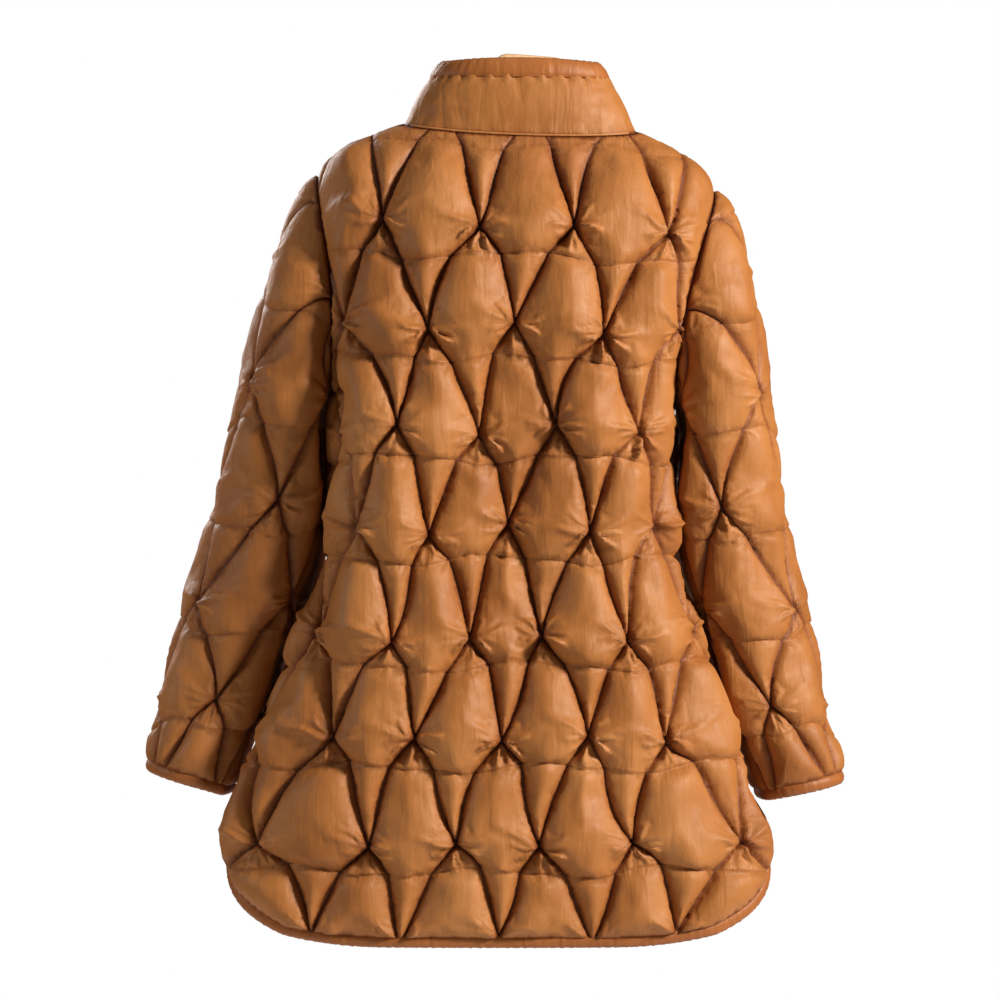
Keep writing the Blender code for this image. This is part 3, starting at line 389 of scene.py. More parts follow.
def triangulate(outline, seams, spacing, clear, met=None):
    # even triangles in the outline, smaller ones round the meetings, and every seam along edges of them
    low, high = outline.min(axis=0), outline.max(axis=0)
    rows = np.arange(low[1], high[1], spacing * evenRows)
    grid = np.array([
        (x + (i % 2) * spacing / 2, y) for i, y in enumerate(rows) for x in np.arange(low[0], high[0], spacing)
    ])
    beside = quilting["besideSeam"]
    lines = closedEdges(outline) + seams
    clear = np.full(len(grid), clear + (beside if seams else 0))
    if met is not None:
        fine, reach = quilting["foldSpacing"], quilting["foldReach"]
        count = int(reach / fine)
        patch = np.array([
            ((i + (j % 2) / 2) * fine, j * fine * evenRows)
            for j in range(-count, count + 1)
            for i in range(-count, count)
        ])
        patch = patch[np.hypot(patch[:, 0], patch[:, 1]) < reach]
        far = nearestMeeting(grid, met)[0] > reach + spacing * 0.4
        patches = np.concatenate([patch + place for place in met])
        grid = np.concatenate([grid[far], patches])
        clear = np.concatenate([clear[far], np.full(len(patches), beside + fine * 0.42)])
    if seams:
        sides = seamSides(seams, beside)
        grid = np.concatenate([grid, sides])
        clear = np.concatenate([clear, np.full(len(sides), beside * 0.86)])
    kept = inside(grid, outline)
    grid, clear = grid[kept], clear[kept]
    grid = grid[nearness(grid, lines)[0] > clear]
    points = [tuple(p) for p in outline]
    edges = [(i, (i + 1) % len(outline)) for i in range(len(outline))]
    index = {keyOf(p): i for i, p in enumerate(points)}
    for seam in seams:
        if not inside(np.array([seam[0], (seam[0] + seam[1]) / 2, seam[1]]), outline).any():
            continue
        ends = []
        for end in seam:
            key = keyOf(end)
            if key not in index:
                index[key] = len(points)
                points.append(tuple(end))
            ends.append(index[key])
        if ends[0] != ends[1]:
            edges.append(tuple(ends))
    points += [tuple(p) for p in grid]
    found = delaunay_2d_cdt([tuple(map(float, p)) for p in points], edges, [], 0, 1e-7)
    flat = np.array([tuple(v) for v in found[0]])
    faces = np.array([tuple(f) for f in found[2]])
    used, faces = np.unique(faces[inside(flat[faces].mean(axis=1), outline)], return_inverse=True)
    flat, faces = flat[used], faces.reshape(-1, 3)
    a, b, c = (flat[faces[:, i]] for i in range(3))
    turn = (b[:, 0] - a[:, 0]) * (c[:, 1] - a[:, 1]) - (b[:, 1] - a[:, 1]) * (c[:, 0] - a[:, 0])
    return flat, np.where((turn < 0)[:, None], faces[:, ::-1], faces)


def borderOf(faces):
    # the numbers of the points round the edge, in order
    edges = {(int(f[i]), int(f[(i + 1) % 3])) for f in faces for i in range(3)}
    after = {a: b for a, b in edges if (b, a) not in edges}
    loop = [next(iter(after))]
    for _ in range(len(after) - 1):
        loop.append(after[loop[-1]])
    return loop


def refined(outline, spacing):
    points = []
    for a, b in closedEdges(outline):
        points += divided(a, b, spacing)[:-1]
    return np.array(points)


sleeve = {
    "left": (
        (0.477, -0.2300, 0.020, 0.055, 0.060),
        (0.420, -0.2420, 0.030, 0.057, 0.060),
        (0.350, -0.2600, 0.036, 0.058, 0.056),
        (0.273, -0.2860, 0.038, 0.056, 0.051),
        (0.215, -0.3060, 0.036, 0.050, 0.047),
        (0.155, -0.3240, 0.032, 0.045, 0.043),
        (0.100, -0.3350, 0.030, 0.044, 0.042),
    ),
    "right": (
        (0.477, 0.1740, 0.020, 0.054, 0.060),
        (0.420, 0.1800, 0.030, 0.057, 0.060),
        (0.350, 0.1910, 0.036, 0.058, 0.056),
        (0.273, 0.2130, 0.038, 0.056, 0.051),
        (0.215, 0.2300, 0.036, 0.049, 0.047),
        (0.145, 0.2540, 0.032, 0.044, 0.043),
        (0.080, 0.2630, 0.030, 0.043, 0.042),
    ),
    "cuffHeight": {"left": 0.154, "right": 0.146},
    "cuffSlant": {"left": 0.28, "right": -0.20},
    "cuffReach": 0.043,
    "columns": 4,
    "columnWidth": 0.084,
    "rows": (0.795, 0.702, 0.606, 0.512, 0.418, 0.322, 0.228, 0.134, 0.040),
    "rightShift": -0.006,
    "fill": 0.66,  # sleeves hold less down than the body
    "thinSides": 0.32,  # and less still at their outlines
    "atHead": 0.28,  # and at the armhole
    "wander": 1.7,
    "head": 0.46,
    "headLow": 0.85,
}


collar = {
    "topBack": 0.829,
    "topFront": 0.782,
    "topHalf": 0.077,
    "centre": -0.012,
    "slopeStart": 0.45,
    "topBackDepth": 0.047,
    "topFrontDepth": 0.056,
    "binding": 0.0110,
    "height": 0.074,
    "halfLength": 0.250,
    "lap": 0.075,
    "neckSplit": 0.42,
    "neckReach": 0.150,
    "neckPoints": 13,
}


# Where other cloth, or a seam of several layers, holds the down flat: each share is what it takes away.
pressed = {
    "underArm": {"from": 0.065, "over": 0.045, "below": 0.10, "above": 0.03, "share": 0.60},
    "edges": {"reach": 0.030, "share": 0.45, "upperReach": 0.018, "upperShare": 0.25, "upper": 0.60},
    "shoulder": {"reach": 0.085, "below": 0.695, "share": 0.88},
}


def pressedFlat(flat, face):
    arm, edge, shoulder = pressed["underArm"], pressed["edges"], pressed["shoulder"]
    low, high = coat["underarm"] - arm["below"], coat["underarm"] + arm["above"]
    toSide = sideDistance(flat[:, 1], face) - np.abs(flat[:, 0])
    beside = unit((arm["from"] - toSide) / arm["over"])
    underArm = unit((flat[:, 1] - low) / 0.06) * unit((high - flat[:, 1]) / 0.04)
    mirrored = stacked(np.abs(flat[:, 0]), flat[:, 1])
    cuts = (bezier(controls, 16) for controls in (armholeControls(face), neckControls(face)))
    edges = [pair for cut in cuts for pair in zip(cut[:-1], cut[1:])]
    high = unit((flat[:, 1] - edge["upper"]) / 0.06)
    near = unit(distanceTo(mirrored, edges) / (edge["reach"] + edge["upperReach"] * high))
    full = unit((toSide - 0.004) / shoulder["reach"]) + unit((shoulder["below"] - flat[:, 1]) / 0.03)
    full = 1 - shoulder["share"] + shoulder["share"] * np.minimum(full, 1)
    atEdge = (edge["share"] + edge["upperShare"] * high) * (1 - near)
    return (1 - arm["share"] * beside * underArm) * (1 - atEdge) * full


def frontSurface(side, upper):
    sign = 1 if side == "right" else -1

    def surface(across, height):
        base = bodyPoint(across * sign, height, "front")
        if upper:
            lift = coat["overlapLift"] * unit((coat["liftFrom"] - across) / coat["liftOver"])
            base[:, 1] += lift * lift / coat["overlapLift"] * (3 - 2 * lift / coat["overlapLift"])
        return base

    return surface


def wrapped(column):
    # a sleeve's column as a turn from -1 to 1, where both ends are the seam under the arm
    return np.round(column / (sleeve["columns"] / 2) + 1, 6) % 2 - 1


def armholeRing(side, turn):
    # places on the armhole, on the form and in the flat
    sign = -1 if side == "left" else 1
    points = np.zeros((len(turn), 3))
    flat = np.zeros((len(turn), 2))
    for face in ("back", "front"):
        chosen = turn >= 0 if face == "back" else turn < 0
        t = np.abs(turn[chosen])[:, None]
        cut = bezierAt(t, armholeControls(face))
        points[chosen] = bodyPoint(sign * cut[:, 0], cut[:, 1], face)
        flat[chosen] = cut
    return points, flat


def keepOffBody(points, sign, clear):
    # moves a sleeve's points sideways until they clear the body
    height = points[:, 2] + coat["hangHeight"]
    centre, half, back, front, square = (smooth(bodyRings, c, height) for c in (1, 2, 3, 4, 5))
    depth = np.where(points[:, 1] < 0, back, front) + clear
    share = np.clip(np.abs(points[:, 1]) / depth, 0, 0.9999)
    limit = (half + clear) * (1 - share**square) ** (1 / square)
    out = sign * (points[:, 0] - centre)
    soft = 0.008
    pushed = limit + soft * np.logaddexp(0, (out - limit) / soft)  # past the limit, and smoothly so
    points = points.copy()
    points[:, 0] = centre + sign * pushed
    return points


def sleeveSurface(side):
    sign = -1 if side == "left" else 1
    rings = sleeve["left"] if side == "left" else sleeve["right"]
    bicep = rings[0][0]

    def tube(turn, height):
        cx, cy, half, depth = (smooth(rings, c, height) for c in (1, 2, 3, 4))
        angle = turn * math.pi
        x = cx + sign * half * np.cos(angle)
        y = cy - depth * np.sin(angle)
        return stacked(x, y, height - coat["hangHeight"])

    def surface(column, height):
        turn = wrapped(np.atleast_1d(column))
        height = np.atleast_1d(height).astype(float)
        start, cut = armholeRing(side, turn)
        low = tube(turn, np.full(len(turn), bicep))
        below = tube(turn, np.full(len(turn), bicep - 0.010))
        axis = (below - low) / 0.010
        top = cut[:, 1]
        t = np.clip((top - height) / (top - bicep), -0.2, 1)[:, None]
        length = (top - bicep)[:, None]
        sideways, falling = 0.95 - 0.30 * np.abs(turn), 0.42 + 0.25 * np.abs(turn)
        outward = unitRows(stacked(sign * sideways, -0.30 * np.sin(turn * math.pi), -falling))
        start = start + outward * coat["armholeGap"]
        head = sleeve["head"] + (sleeve["headLow"] - sleeve["head"]) * np.abs(turn)[:, None]
        cap = (
            (2 * t**3 - 3 * t**2 + 1) * start
            + (t**3 - 2 * t**2 + t) * length * outward * head
            + (3 * t**2 - 2 * t**3) * low
            + (t**3 - t**2) * length * axis
        )
        hanging = tube(turn, height)
        lower = (height < bicep)[:, None]
        points = np.where(lower, hanging, cap)
        drop = unit((coat["underarm"] + 0.006 - height) / 0.040)
        kept = keepOffBody(points, sign, coat["sleeveClear"] * drop**0.6)
        share = unit((coat["underarm"] + 0.002 - height) / 0.02)[:, None]
        return points * (1 - share) + kept * share

    return surface


def sleeveOutline(side):
    edge = sleeve["columns"] / 2
    turn = np.linspace(-1, 1, 37)
    _, cut = armholeRing(side, turn)
    top = stacked(turn * edge, cut[:, 1])
    columns = np.linspace(edge, -edge, 29)
    cuff = stacked(columns, cuffHeight(side, columns))
    down = np.linspace(top[-1][1], cuff[0][1], 20)[1:-1]
    right = stacked(np.full(len(down), edge), down)
    left = right[::-1] * np.array([-1, 1])
    return np.concatenate([top, right, cuff, left])


def cuffHeight(side, columns):
    turn = np.asarray(columns) / (sleeve["columns"] / 2)
    sign = -1 if side == "left" else 1
    slant = sleeve["cuffSlant"][side] * sign * sleeve["cuffReach"]
    return sleeve["cuffHeight"][side] - slant * np.cos(turn * math.pi)


def sleeveFacing(side):
    return -1 if side == "right" else 1


def edgeFrame(surface, path, facing):
    # points along an edge, with the directions out of the cloth and past the edge
    run = unitRows(np.gradient(path, axis=0))
    past = stacked(run[:, 1], -run[:, 0])
    points = surface(*path.T)
    step = 0.001
    beyond = unitRows(surface(path[:, 0] + past[:, 0] * step, path[:, 1] + past[:, 1] * step) - points)
    out = facing * normalsOf(surface, *path.T)
    return points, out, beyond


def hemPath(face):
    half = halfOutline(face)
    edge = sideDistance(coat["slit"], face)
    start = np.argmax((half[:, 1] < coat["slit"] + 0.001) & (half[:, 0] > edge * 0.5))
    return half[start:]


def neckCut(turn):
    # places on the neck's cut; turn runs from -1 to 1 round the neck, with 0 at the centre back
    size = np.abs(turn)
    onBack = size <= collar["neckSplit"]
    share = np.where(onBack, size / collar["neckSplit"], (1 - size) / (1 - collar["neckSplit"]))[:, None]
    controls = zip(neckControls("back"), neckControls("front"))
    cut = bezierAt(unit(share), [np.where(onBack[:, None], p, q) for p, q in controls])
    cut[:, 0] += np.minimum(share[:, 0], 0) * collar["neckReach"]
    cut[:, 1] += coat["seamGap"] / 2
    return onBack, cut


def onBody(turn, cut, onBack, measure):
    found = np.zeros((len(turn), 3))
    sign = np.where(turn < 0, -1, 1)
    panels = (
        (onBack, lambda across, height: bodyPoint(across, height, "back"), 1, sign),
        (~onBack & (sign > 0), frontSurface("right", True), -1, np.ones(len(turn))),
        (~onBack & (sign < 0), frontSurface("left", False), 1, np.ones(len(turn))),
    )
    for chosen, surface, facing, mirror in panels:
        if chosen.any():
            across = cut[chosen, 0] * mirror[chosen]
            found[chosen] = measure(surface, across, cut[chosen, 1], facing)
    return found


def neckLine(turn):
    onBack, cut = neckCut(turn)
    return onBody(turn, cut, onBack, lambda surface, across, height, facing: surface(across, height))


def neckNormals(turn):
    onBack, cut = neckCut(turn)
    return onBody(
        turn, cut, onBack,
        lambda surface, across, height, facing: facing * normalsOf(surface, across, height - coat["seamGap"]),
    )


def collarSurface(along, up):
    turn, rise = np.atleast_1d(along) / collar["halfLength"], np.atleast_1d(up) / collar["height"]
    low = neckLine(turn)
    angle = turn * math.pi
    depth = np.where(np.cos(angle) > 0, collar["topBackDepth"], collar["topFrontDepth"])
    x = collar["centre"] + collar["topHalf"] * np.sign(np.sin(angle)) * np.abs(np.sin(angle)) ** 0.85
    y = -depth * np.sign(np.cos(angle)) * np.abs(np.cos(angle)) ** 0.85
    front = unit((np.abs(turn) - collar["slopeStart"]) / (1 - collar["slopeStart"])) ** 1.3
    z = collar["topBack"] + (collar["topFront"] - collar["topBack"]) * front - coat["hangHeight"]
    lifted = unit((turn - 0.70) / 0.16)
    y = y + coat["overlapLift"] * lifted * lifted * (3 - 2 * lifted)
    high = stacked(x, y, z)
    return low + (high - low) * rise[:, None]


def throughCollar(flat):
    own = normalsOf(collarSurface, flat[:, 0], flat[:, 1])
    square = neckNormals(flat[:, 0] / collar["halfLength"])
    near = unit(1 - flat[:, 1] / 0.018)[:, None]
    return unitRows(own * (1 - near) + square * near)


def collarOutline():
    left, right = -collar["halfLength"] * (1 + collar["lap"]), collar["halfLength"] * (1 + collar["lap"])
    corner = 0.012
    top = collar["height"] - collar["binding"]
    steps = np.linspace(0, 1, collar["neckPoints"])
    half = np.concatenate([steps[1:] * collar["neckSplit"], 1 - steps[-2::-1] * (1 - collar["neckSplit"])])
    half = half * collar["halfLength"]
    low = np.concatenate([[left], -half[::-1], [0], half, [right]])
    high = np.linspace(right - corner, left + corner, 33)
    rise = np.array([top * 0.33, top * 0.66, top - corner])
    return np.concatenate([
        stacked(low, 0 * low),
        stacked(0 * rise + right, rise),
        stacked(high, 0 * high + top),
        stacked(0 * rise + left, rise[::-1]),
    ])


# How the down fills the chambers before the cloth is let go, and how the cloth then behaves.
quilting = {
    "rise": 0.0180,  # how far a full chamber stands off its seams
    "span": 0.034,  # distance from a seam at which a chamber is full
    "dome": 0.64,  # a chamber's section: 1 is a parabola, less is fuller beside the seams
    "sag": (0.82, 0.30, 1.6),  # down settles: fullness under a cross seam, what the low end adds, how late
    "slack": (0.028, 0.62),  # little down gets in under a meeting: how far down, and what share is missing
    "uneven": 0.22,  # no two chambers hold the same down
    "crease": (0.0046, 0.0050),  # a cross seam's depth below the full cloth, and its half width
    "creaseUneven": (0.75, 0.55),
    "pinch": (0.0026, 0.012),  # how far the cloth is drawn in where seams meet, and how far that reaches
    "foldSpacing": 0.0021,  # the mesh is this fine where the folds are
    "foldReach": 0.028,
    "besideSeam": 0.0015,  # the first row of the mesh beside a seam
    "sewnReach": 0.0006,  # nearer than this to a seam, a point is sewn
    "seamDepth": 0.0008,
    "pressure": 2.6,
    "spare": -0.014,  # spare cloth between the seams, as a negative shrinkage
    "frames": 11,
    "stiffness": 30.0,
    "bending": 0.03,
    "mostSwell": 0.024,  # no point goes further off the form than this
}

# The folds pinched up where seams meet. Each meeting has its own chances, so no two are the same.
folds = {
    # degrees from straight down, length, height, width
    "each": (
        (-17, 0.034, 0.0092, 0.0034),
        (21, 0.036, 0.0098, 0.0036),
        (-8, 0.062, 0.0022, 0.0060),
        (-58, 0.032, 0.0092, 0.0034),
        (62, 0.034, 0.0092, 0.0036),
        (-84, 0.036, 0.0048, 0.0036),
        (86, 0.038, 0.0048, 0.0036),
        (-108, 0.058, 0.0032, 0.0066),
        (104, 0.062, 0.0032, 0.0066),
        (-142, 0.030, 0.0046, 0.0036),
        (145, 0.030, 0.0046, 0.0036),
    ),
    "turn": 0.42,  # by chance, in radians
    "lengths": (0.65, 0.7),  # least share, and what chance adds
    "heights": (0.45, 0.9),
    "widths": (0.55, 0.9),  # share of the width at the start, and what the end adds
    "wave": (0.0012, 0.0055),  # a fold isn't straight: how far to the side, over what length
    "start": 0.0045,
    "runOut": 0.7,  # share of the length over which a fold ends
    "wide": 0.005,  # narrower folds end where the fine mesh does, and are low where the form turns away
    "fade": 0.009,
    "turnedAway": 0.15,
}


def only(piece):
    bpy.ops.object.select_all(action="DESELECT")
    piece.select_set(True)
    bpy.context.view_layer.objects.active = piece


def meshPiece(name, points, faces):
    mesh = bpy.data.meshes.new(name)
    mesh.from_pydata([tuple(map(float, p)) for p in points], [], [tuple(map(int, f)) for f in faces])
    piece = bpy.data.objects.new(name, mesh)
    bpy.context.scene.collection.objects.link(piece)
    return piece


def turnedOut(piece, merge=0.0):
    # faces look outwards, points nearer than merge become one, and the shading is smooth
    shape = bmesh.new()
    shape.from_mesh(piece.data)
    if merge:
        bmesh.ops.remove_doubles(shape, verts=shape.verts, dist=merge)
    bmesh.ops.recalc_face_normals(shape, faces=shape.faces)
    shape.to_mesh(piece.data)
    shape.free()
    piece.data.shade_smooth()


def nearness(points, segments, spacing=0.0008):
    # how far each flat point is from the nearest seam, and which seam that is
    samples = [(p, i) for i, (a, b) in enumerate(segments) for p in divided(a, b, spacing)]
    tree = KDTree(len(samples))
    for number, (p, _) in enumerate(samples):
        tree.insert((p[0], p[1], 0), number)
    tree.balance()
    found = [tree.find((p[0], p[1], 0)) for p in points]
    return np.array([f[2] for f in found]), np.array([samples[f[1]][1] for f in found])


def chance(number, salt):
    # a settled random value from 0 to 1 for each whole number
    value = np.sin(np.asarray(number, float) * 12.9898 + salt * 78.233) * 43758.5453
    return value - np.floor(value)


def crossings(rows, first, last, place):
    # where the seams meet, in the flat cut
    met = []
    for k, height in enumerate(rows):
        column = first + 0.5 * (k % 2)
        while column <= last:
            met.append(place(column, height))
            column += 1.0
    return np.array(met)


def nearestMeeting(flat, met):
    tree = KDTree(len(met))
    for number, p in enumerate(met):
        tree.insert((p[0], p[1], 0), number)
    tree.balance()
    found = [tree.find((p[0], p[1], 0)) for p in flat]
    which = np.array([f[1] for f in found])
    return np.array([f[2] for f in found]), flat - met[which], which


def puffHeight(flat, near, column, rows):
    # near holds the distances to the diagonal seams, the cross seams and the nearest meeting
    height = flat[:, 1]
    rows = np.array(rows)
    caps = rows[:-1] - capShare * (rows[:-1] - rows[1:])
    k = np.clip(len(caps) - 1 - np.searchsorted(caps[::-1], height), 0, len(caps) - 2)
    low = unit((caps[k] - height) / (caps[k] - caps[k + 1]))
    dome = (1 - (1 - unit(near["away"] / quilting["span"])) ** 2) ** quilting["dome"]
    top, lower, late = quilting["sag"]
    full = 1 + quilting["uneven"] * np.sin(4.3 * column + 2.1 * np.sin(23 * height)) * np.sin(39 * height + column)
    angle = np.arctan2(near["offset"][:, 0], -near["offset"][:, 1])  # 0 is straight down from the nearest meeting
    reach, missing = quilting["slack"]
    under = unit((np.cos(angle) - 0.62) / 0.25) * np.exp(-((near["meeting"] / reach) ** 4))
    puff = quilting["rise"] * full * dome * (top + lower * low**late) * (1 - missing * under)
    depth, width = quilting["crease"]
    least, more = quilting["creaseUneven"]
    depth = depth * (least + more * np.sin(4.7 * column + 61 * height))
    puff -= depth * np.exp(-((near["cross"] / width) ** 2)) * unit(near["away"] / 0.012)
    return puff + meetingFolds(near) * unit(near["away"] / folds["start"])


def meetingFolds(near):
    across, up, which = near["offset"][:, 0], near["offset"][:, 1], near["which"]

    def varied(key, salt):
        least, more = folds[key]
        return least + more * chance(which, salt)

    total = np.zeros(len(across))
    aside, over = folds["wave"]
    for k, (degrees, length, height, width) in enumerate(folds["each"]):
        turn = math.radians(degrees) + folds["turn"] * (chance(which, k) - 0.5)
        length = length * varied("lengths", k + 20)
        along = across * np.sin(turn) - up * np.cos(turn)
        off = across * np.cos(turn) + up * np.sin(turn)
        off = off + aside * np.sin(along / over + 6.28 * chance(which, k + 40))
        narrow, wider = folds["widths"]
        crest = unit(1 - np.abs(off) / (width * (narrow + wider * unit(along / length))))
        crest = crest * crest * (2.2 - 1.2 * crest)
        ends = unit(along / folds["start"]) * unit((length - along) / (folds["runOut"] * length))
        if width < folds["wide"]:
            level = folds["turnedAway"] + (1 - folds["turnedAway"]) * near["level"]
            ends *= unit((quilting["foldReach"] - near["meeting"]) / folds["fade"]) * level
        total += height * varied("heights", k + 60) * crest * ends
    return total


def letGo(panel, sewn, push):
    # the sewn cloth is held and the rest swells until it wrinkles
    group = panel.vertex_groups.new(name="sewn")
    group.add([int(i) for i in np.where(sewn)[0]], 1.0, "REPLACE")
    cloth = panel.modifiers.new("down", "CLOTH")
    settings = cloth.settings
    settings.quality = 5
    settings.mass = 0.15
    settings.tension_stiffness = quilting["stiffness"]
    settings.compression_stiffness = quilting["stiffness"] / 2
    settings.shear_stiffness = 6
    settings.bending_stiffness = quilting["bending"]
    settings.tension_damping = 5
    settings.compression_damping = 5
    settings.shear_damping = 5
    settings.bending_damping = 0.5
    settings.air_damping = 1.5
    settings.vertex_group_mass = "sewn"
    settings.pin_stiffness = 1
    settings.use_pressure = True
    settings.uniform_pressure_force = quilting["pressure"] * push
    settings.shrink_min = quilting["spare"] * push
    settings.effector_weights.gravity = 0
    cloth.collision_settings.use_collision = False
    cloth.collision_settings.use_self_collision = False
    cloth.point_cache.frame_end = quilting["frames"] + 1
    for step in range(1, quilting["frames"] + 1):
        bpy.context.scene.frame_set(step)
    only(panel)
    bpy.ops.object.modifier_apply(modifier="down")
    bpy.context.scene.frame_set(1)


def markSeams(piece, flat, near, away, level, extra):
    # tells the materials how far each point is from its seams; the extra points of the lining are far from all
    along = np.where(level, flat[:, 0], flat[:, 1])
    angle = np.arctan2(near["offset"][:, 0], near["offset"][:, 1])
    # painted shade: the cloth is darkened in its seams, at its edges, and most under each meeting of seams
    shade = 0.8 * np.exp(-near["away"] / 0.0014) + 0.2 * np.exp(-away / 0.0012)
    shade += 0.5 * np.exp(-((near["meeting"] / 0.007) ** 2))
    for label, values, rest in (
        ("seamAway", away, 0.03),
        ("seamAlong", along, 0.0),
        ("foldX", np.cos(angle), 1.0),
        ("foldY", np.sin(angle), 1.0),
        ("foldAway", np.minimum(near["meeting"], 1.0), 1.0),
        ("paintedSeamShade", np.minimum(shade, 1.0), 0.0),
        ("foldWhich", near["which"] % 97 * 1.7, 0.0),
    ):
        layer = piece.data.attributes.new(label, "FLOAT", "POINT")
        layer.data.foreach_set("value", np.concatenate([values, np.full(extra, rest)]).astype(np.float32))


def padPanel(
    name, outline, seams, surface, raised, spacing, facing=1, through=None, tubeSeam=None, met=None, push=1.0
):
    # one cut of cloth with down behind it: swollen outside, plain inside, closed at its edge
    outline = refined(outline, spacing)
    lines = [(a, b) for a, b, kind in seams]
    mainLines = [(a, b) for a, b, kind in seams if kind != "cross"]
    crossLines = [(a, b) for a, b, kind in seams if kind == "cross"]
    flat, faces = triangulate(outline, lines, spacing, spacing * 0.42, met)
    loop = borderOf(faces)
    plain, plainFaces = triangulate(flat[loop], [], spacing * 3.2, spacing * 1.2)
    edgeKeys = {keyOf(flat[i]) for i in loop}
    onBorder = np.array([keyOf(p) in edgeKeys for p in flat])
    edges = closedEdges(outline)
    near = {"away": nearness(flat, mainLines + edges)[0]}
    near["cross"] = nearness(flat, crossLines)[0] if crossLines else np.full(len(flat), 1.0)
    farAway = np.array([(9.0, 9.0)])
    near["meeting"], near["offset"], near["which"] = nearestMeeting(flat, farAway if met is None else met)

    def outward(at):
        return through(at) if through else facing * normalsOf(surface, *at.T)

    base, normal = surface(*flat.T), outward(flat)
    near["level"] = unit((np.abs(normal[:, 1]) - 0.30) / 0.40)  # 0 where the form turns to its sides
    sewn = (near["away"] < quilting["sewnReach"]) | onBorder
    depth, reach = quilting["pinch"]
    sunk = quilting["seamDepth"] + (depth - quilting["seamDepth"]) * np.exp(-near["meeting"] / reach)
    rise = np.where(onBorder, 0, np.where(sewn, -sunk, raised(flat, near)))
    outer = base + normal * rise[:, None]
    inner = surface(*plain.T) - outward(plain) * coat["wall"]
    place = {keyOf(p): i + len(flat) for i, p in enumerate(plain)}
    rim = []
    for a, b in zip(loop, loop[1:] + loop[:1]):
        if tubeSeam is None or not all(abs(abs(flat[i][0]) - tubeSeam) < 1e-6 for i in (a, b)):
            rim.append((b, a, place[keyOf(flat[a])]))
            rim.append((b, place[keyOf(flat[a])], place[keyOf(flat[b])]))
    lining = [tuple(int(i) + len(flat) for i in f[::-1]) for f in plainFaces]
    piece = meshPiece(name, np.concatenate([outer, inner]), [tuple(f) for f in faces] + lining + rim)
    away, which = nearness(flat, lines + edges)
    level = [kind == "cross" for a, b, kind in seams] + [abs(b[0] - a[0]) > abs(b[1] - a[1]) for a, b in edges]
    markSeams(piece, flat, near, away, np.array(level)[which], len(inner))
    letGo(piece, np.concatenate([sewn | (away < quilting["sewnReach"]), np.ones(len(inner), bool)]), push)
    swollen = np.array([tuple(v.co) for v in piece.data.vertices])[: len(flat)]
    off = ((swollen - base) * normal).sum(axis=1)
    kept = np.clip(off, -depth, quilting["mostSwell"])
    swollen += normal * (kept - off)[:, None]
    piece.data.vertices.foreach_set("co", np.concatenate([swollen, inner]).astype(np.float32).ravel())
    for face in piece.data.polygons[len(faces) : len(faces) + len(lining)]:
        face.material_index = 1
    turnedOut(piece, merge=2e-5)
    report(f"{name}: {len(piece.data.polygons)} faces")
    return piece


def finished(piece, slot, materials, *nodes):
    for material in materials:
        piece.data.materials.append(material)
    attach(piece, "root")
    if nodes:
        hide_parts(*nodes)
    return piece


def linear(code):
    # an sRGB hex colour as the renderer's linear values
    values = [int(code[i : i + 2], 16) / 255 for i in (1, 3, 5)]
    return [v / 12.92 if v <= 0.04045 else ((v + 0.055) / 1.055) ** 2.4 for v in values] + [1.0]


def addNode(tree, kind, settings=None, **inputs):
    # one node with its settings; an input is a value, or another node's output
    node = tree.nodes.new(kind)
    for key, value in (settings or {}).items():
        setattr(node, key, value)
    for key, value in inputs.items():
        numbered = key[0] == "n" and key[1:].isdigit()
        socket = node.inputs[int(key[1:]) if numbered else key.replace("_", " ")]
        if isinstance(value, bpy.types.NodeSocket):
            tree.links.new(value, socket)
        else:
            socket.default_value = value
    return node


def newMaterial(name, roughness, **sockets):
    material = bpy.data.materials.new(name)
    material.use_nodes = True
    tree = material.node_tree
    shader = tree.nodes["Principled BSDF"]
    shader.inputs["Roughness"].default_value = roughness
    for key, value in sockets.items():
        shader.inputs[key.replace("_", " ")].default_value = value
    return material, tree, shader


def rampOf(tree, factor, *stops):
    ramp = addNode(tree, "ShaderNodeValToRGB", Fac=factor)
    elements = ramp.color_ramp.elements
    while len(elements) < len(stops):
        elements.new(0.5)
    for element, (place, code) in zip(elements, stops):
        element.position = place
        element.color = linear(code)
    return ramp.outputs["Color"]


def scaled(tree, vector, x, y, z):
    return addNode(tree, "ShaderNodeMapping", Vector=vector, Scale=(x, y, z)).outputs["Vector"]


def objectPlace(tree):
    return addNode(tree, "ShaderNodeTexCoord").outputs["Object"]


def noise(tree, vector, scale, detail, **inputs):
    return addNode(tree, "ShaderNodeTexNoise", Vector=vector, Scale=scale, Detail=detail, **inputs).outputs["Fac"]


def marked(tree, name):
    return addNode(tree, "ShaderNodeAttribute", {"attribute_name": name}).outputs["Fac"]


def bumped(tree, height, strength, distance, **under):
    bump = addNode(tree, "ShaderNodeBump", Height=height, Strength=strength, Distance=distance, **under)
    return bump.outputs["Normal"]


def multiplied(tree, factor, colour, shade):
    settings = {"data_type": "RGBA", "blend_type": "MULTIPLY"}
    return addNode(tree, "ShaderNodeMix", settings, n0=factor, n6=colour, n7=shade).outputs[2]


def faded(tree, height, away, near, far):
    # the height in full up to near, and nothing beyond far
    share = addNode(
        tree, "ShaderNodeMapRange", {"interpolation_type": "SMOOTHSTEP"},
        Value=away, From_Min=near, From_Max=far, To_Min=1.0, To_Max=0.0,
    ).outputs[0]
    return addNode(tree, "ShaderNodeMath", {"operation": "MULTIPLY"}, n0=height, n1=share).outputs[0]


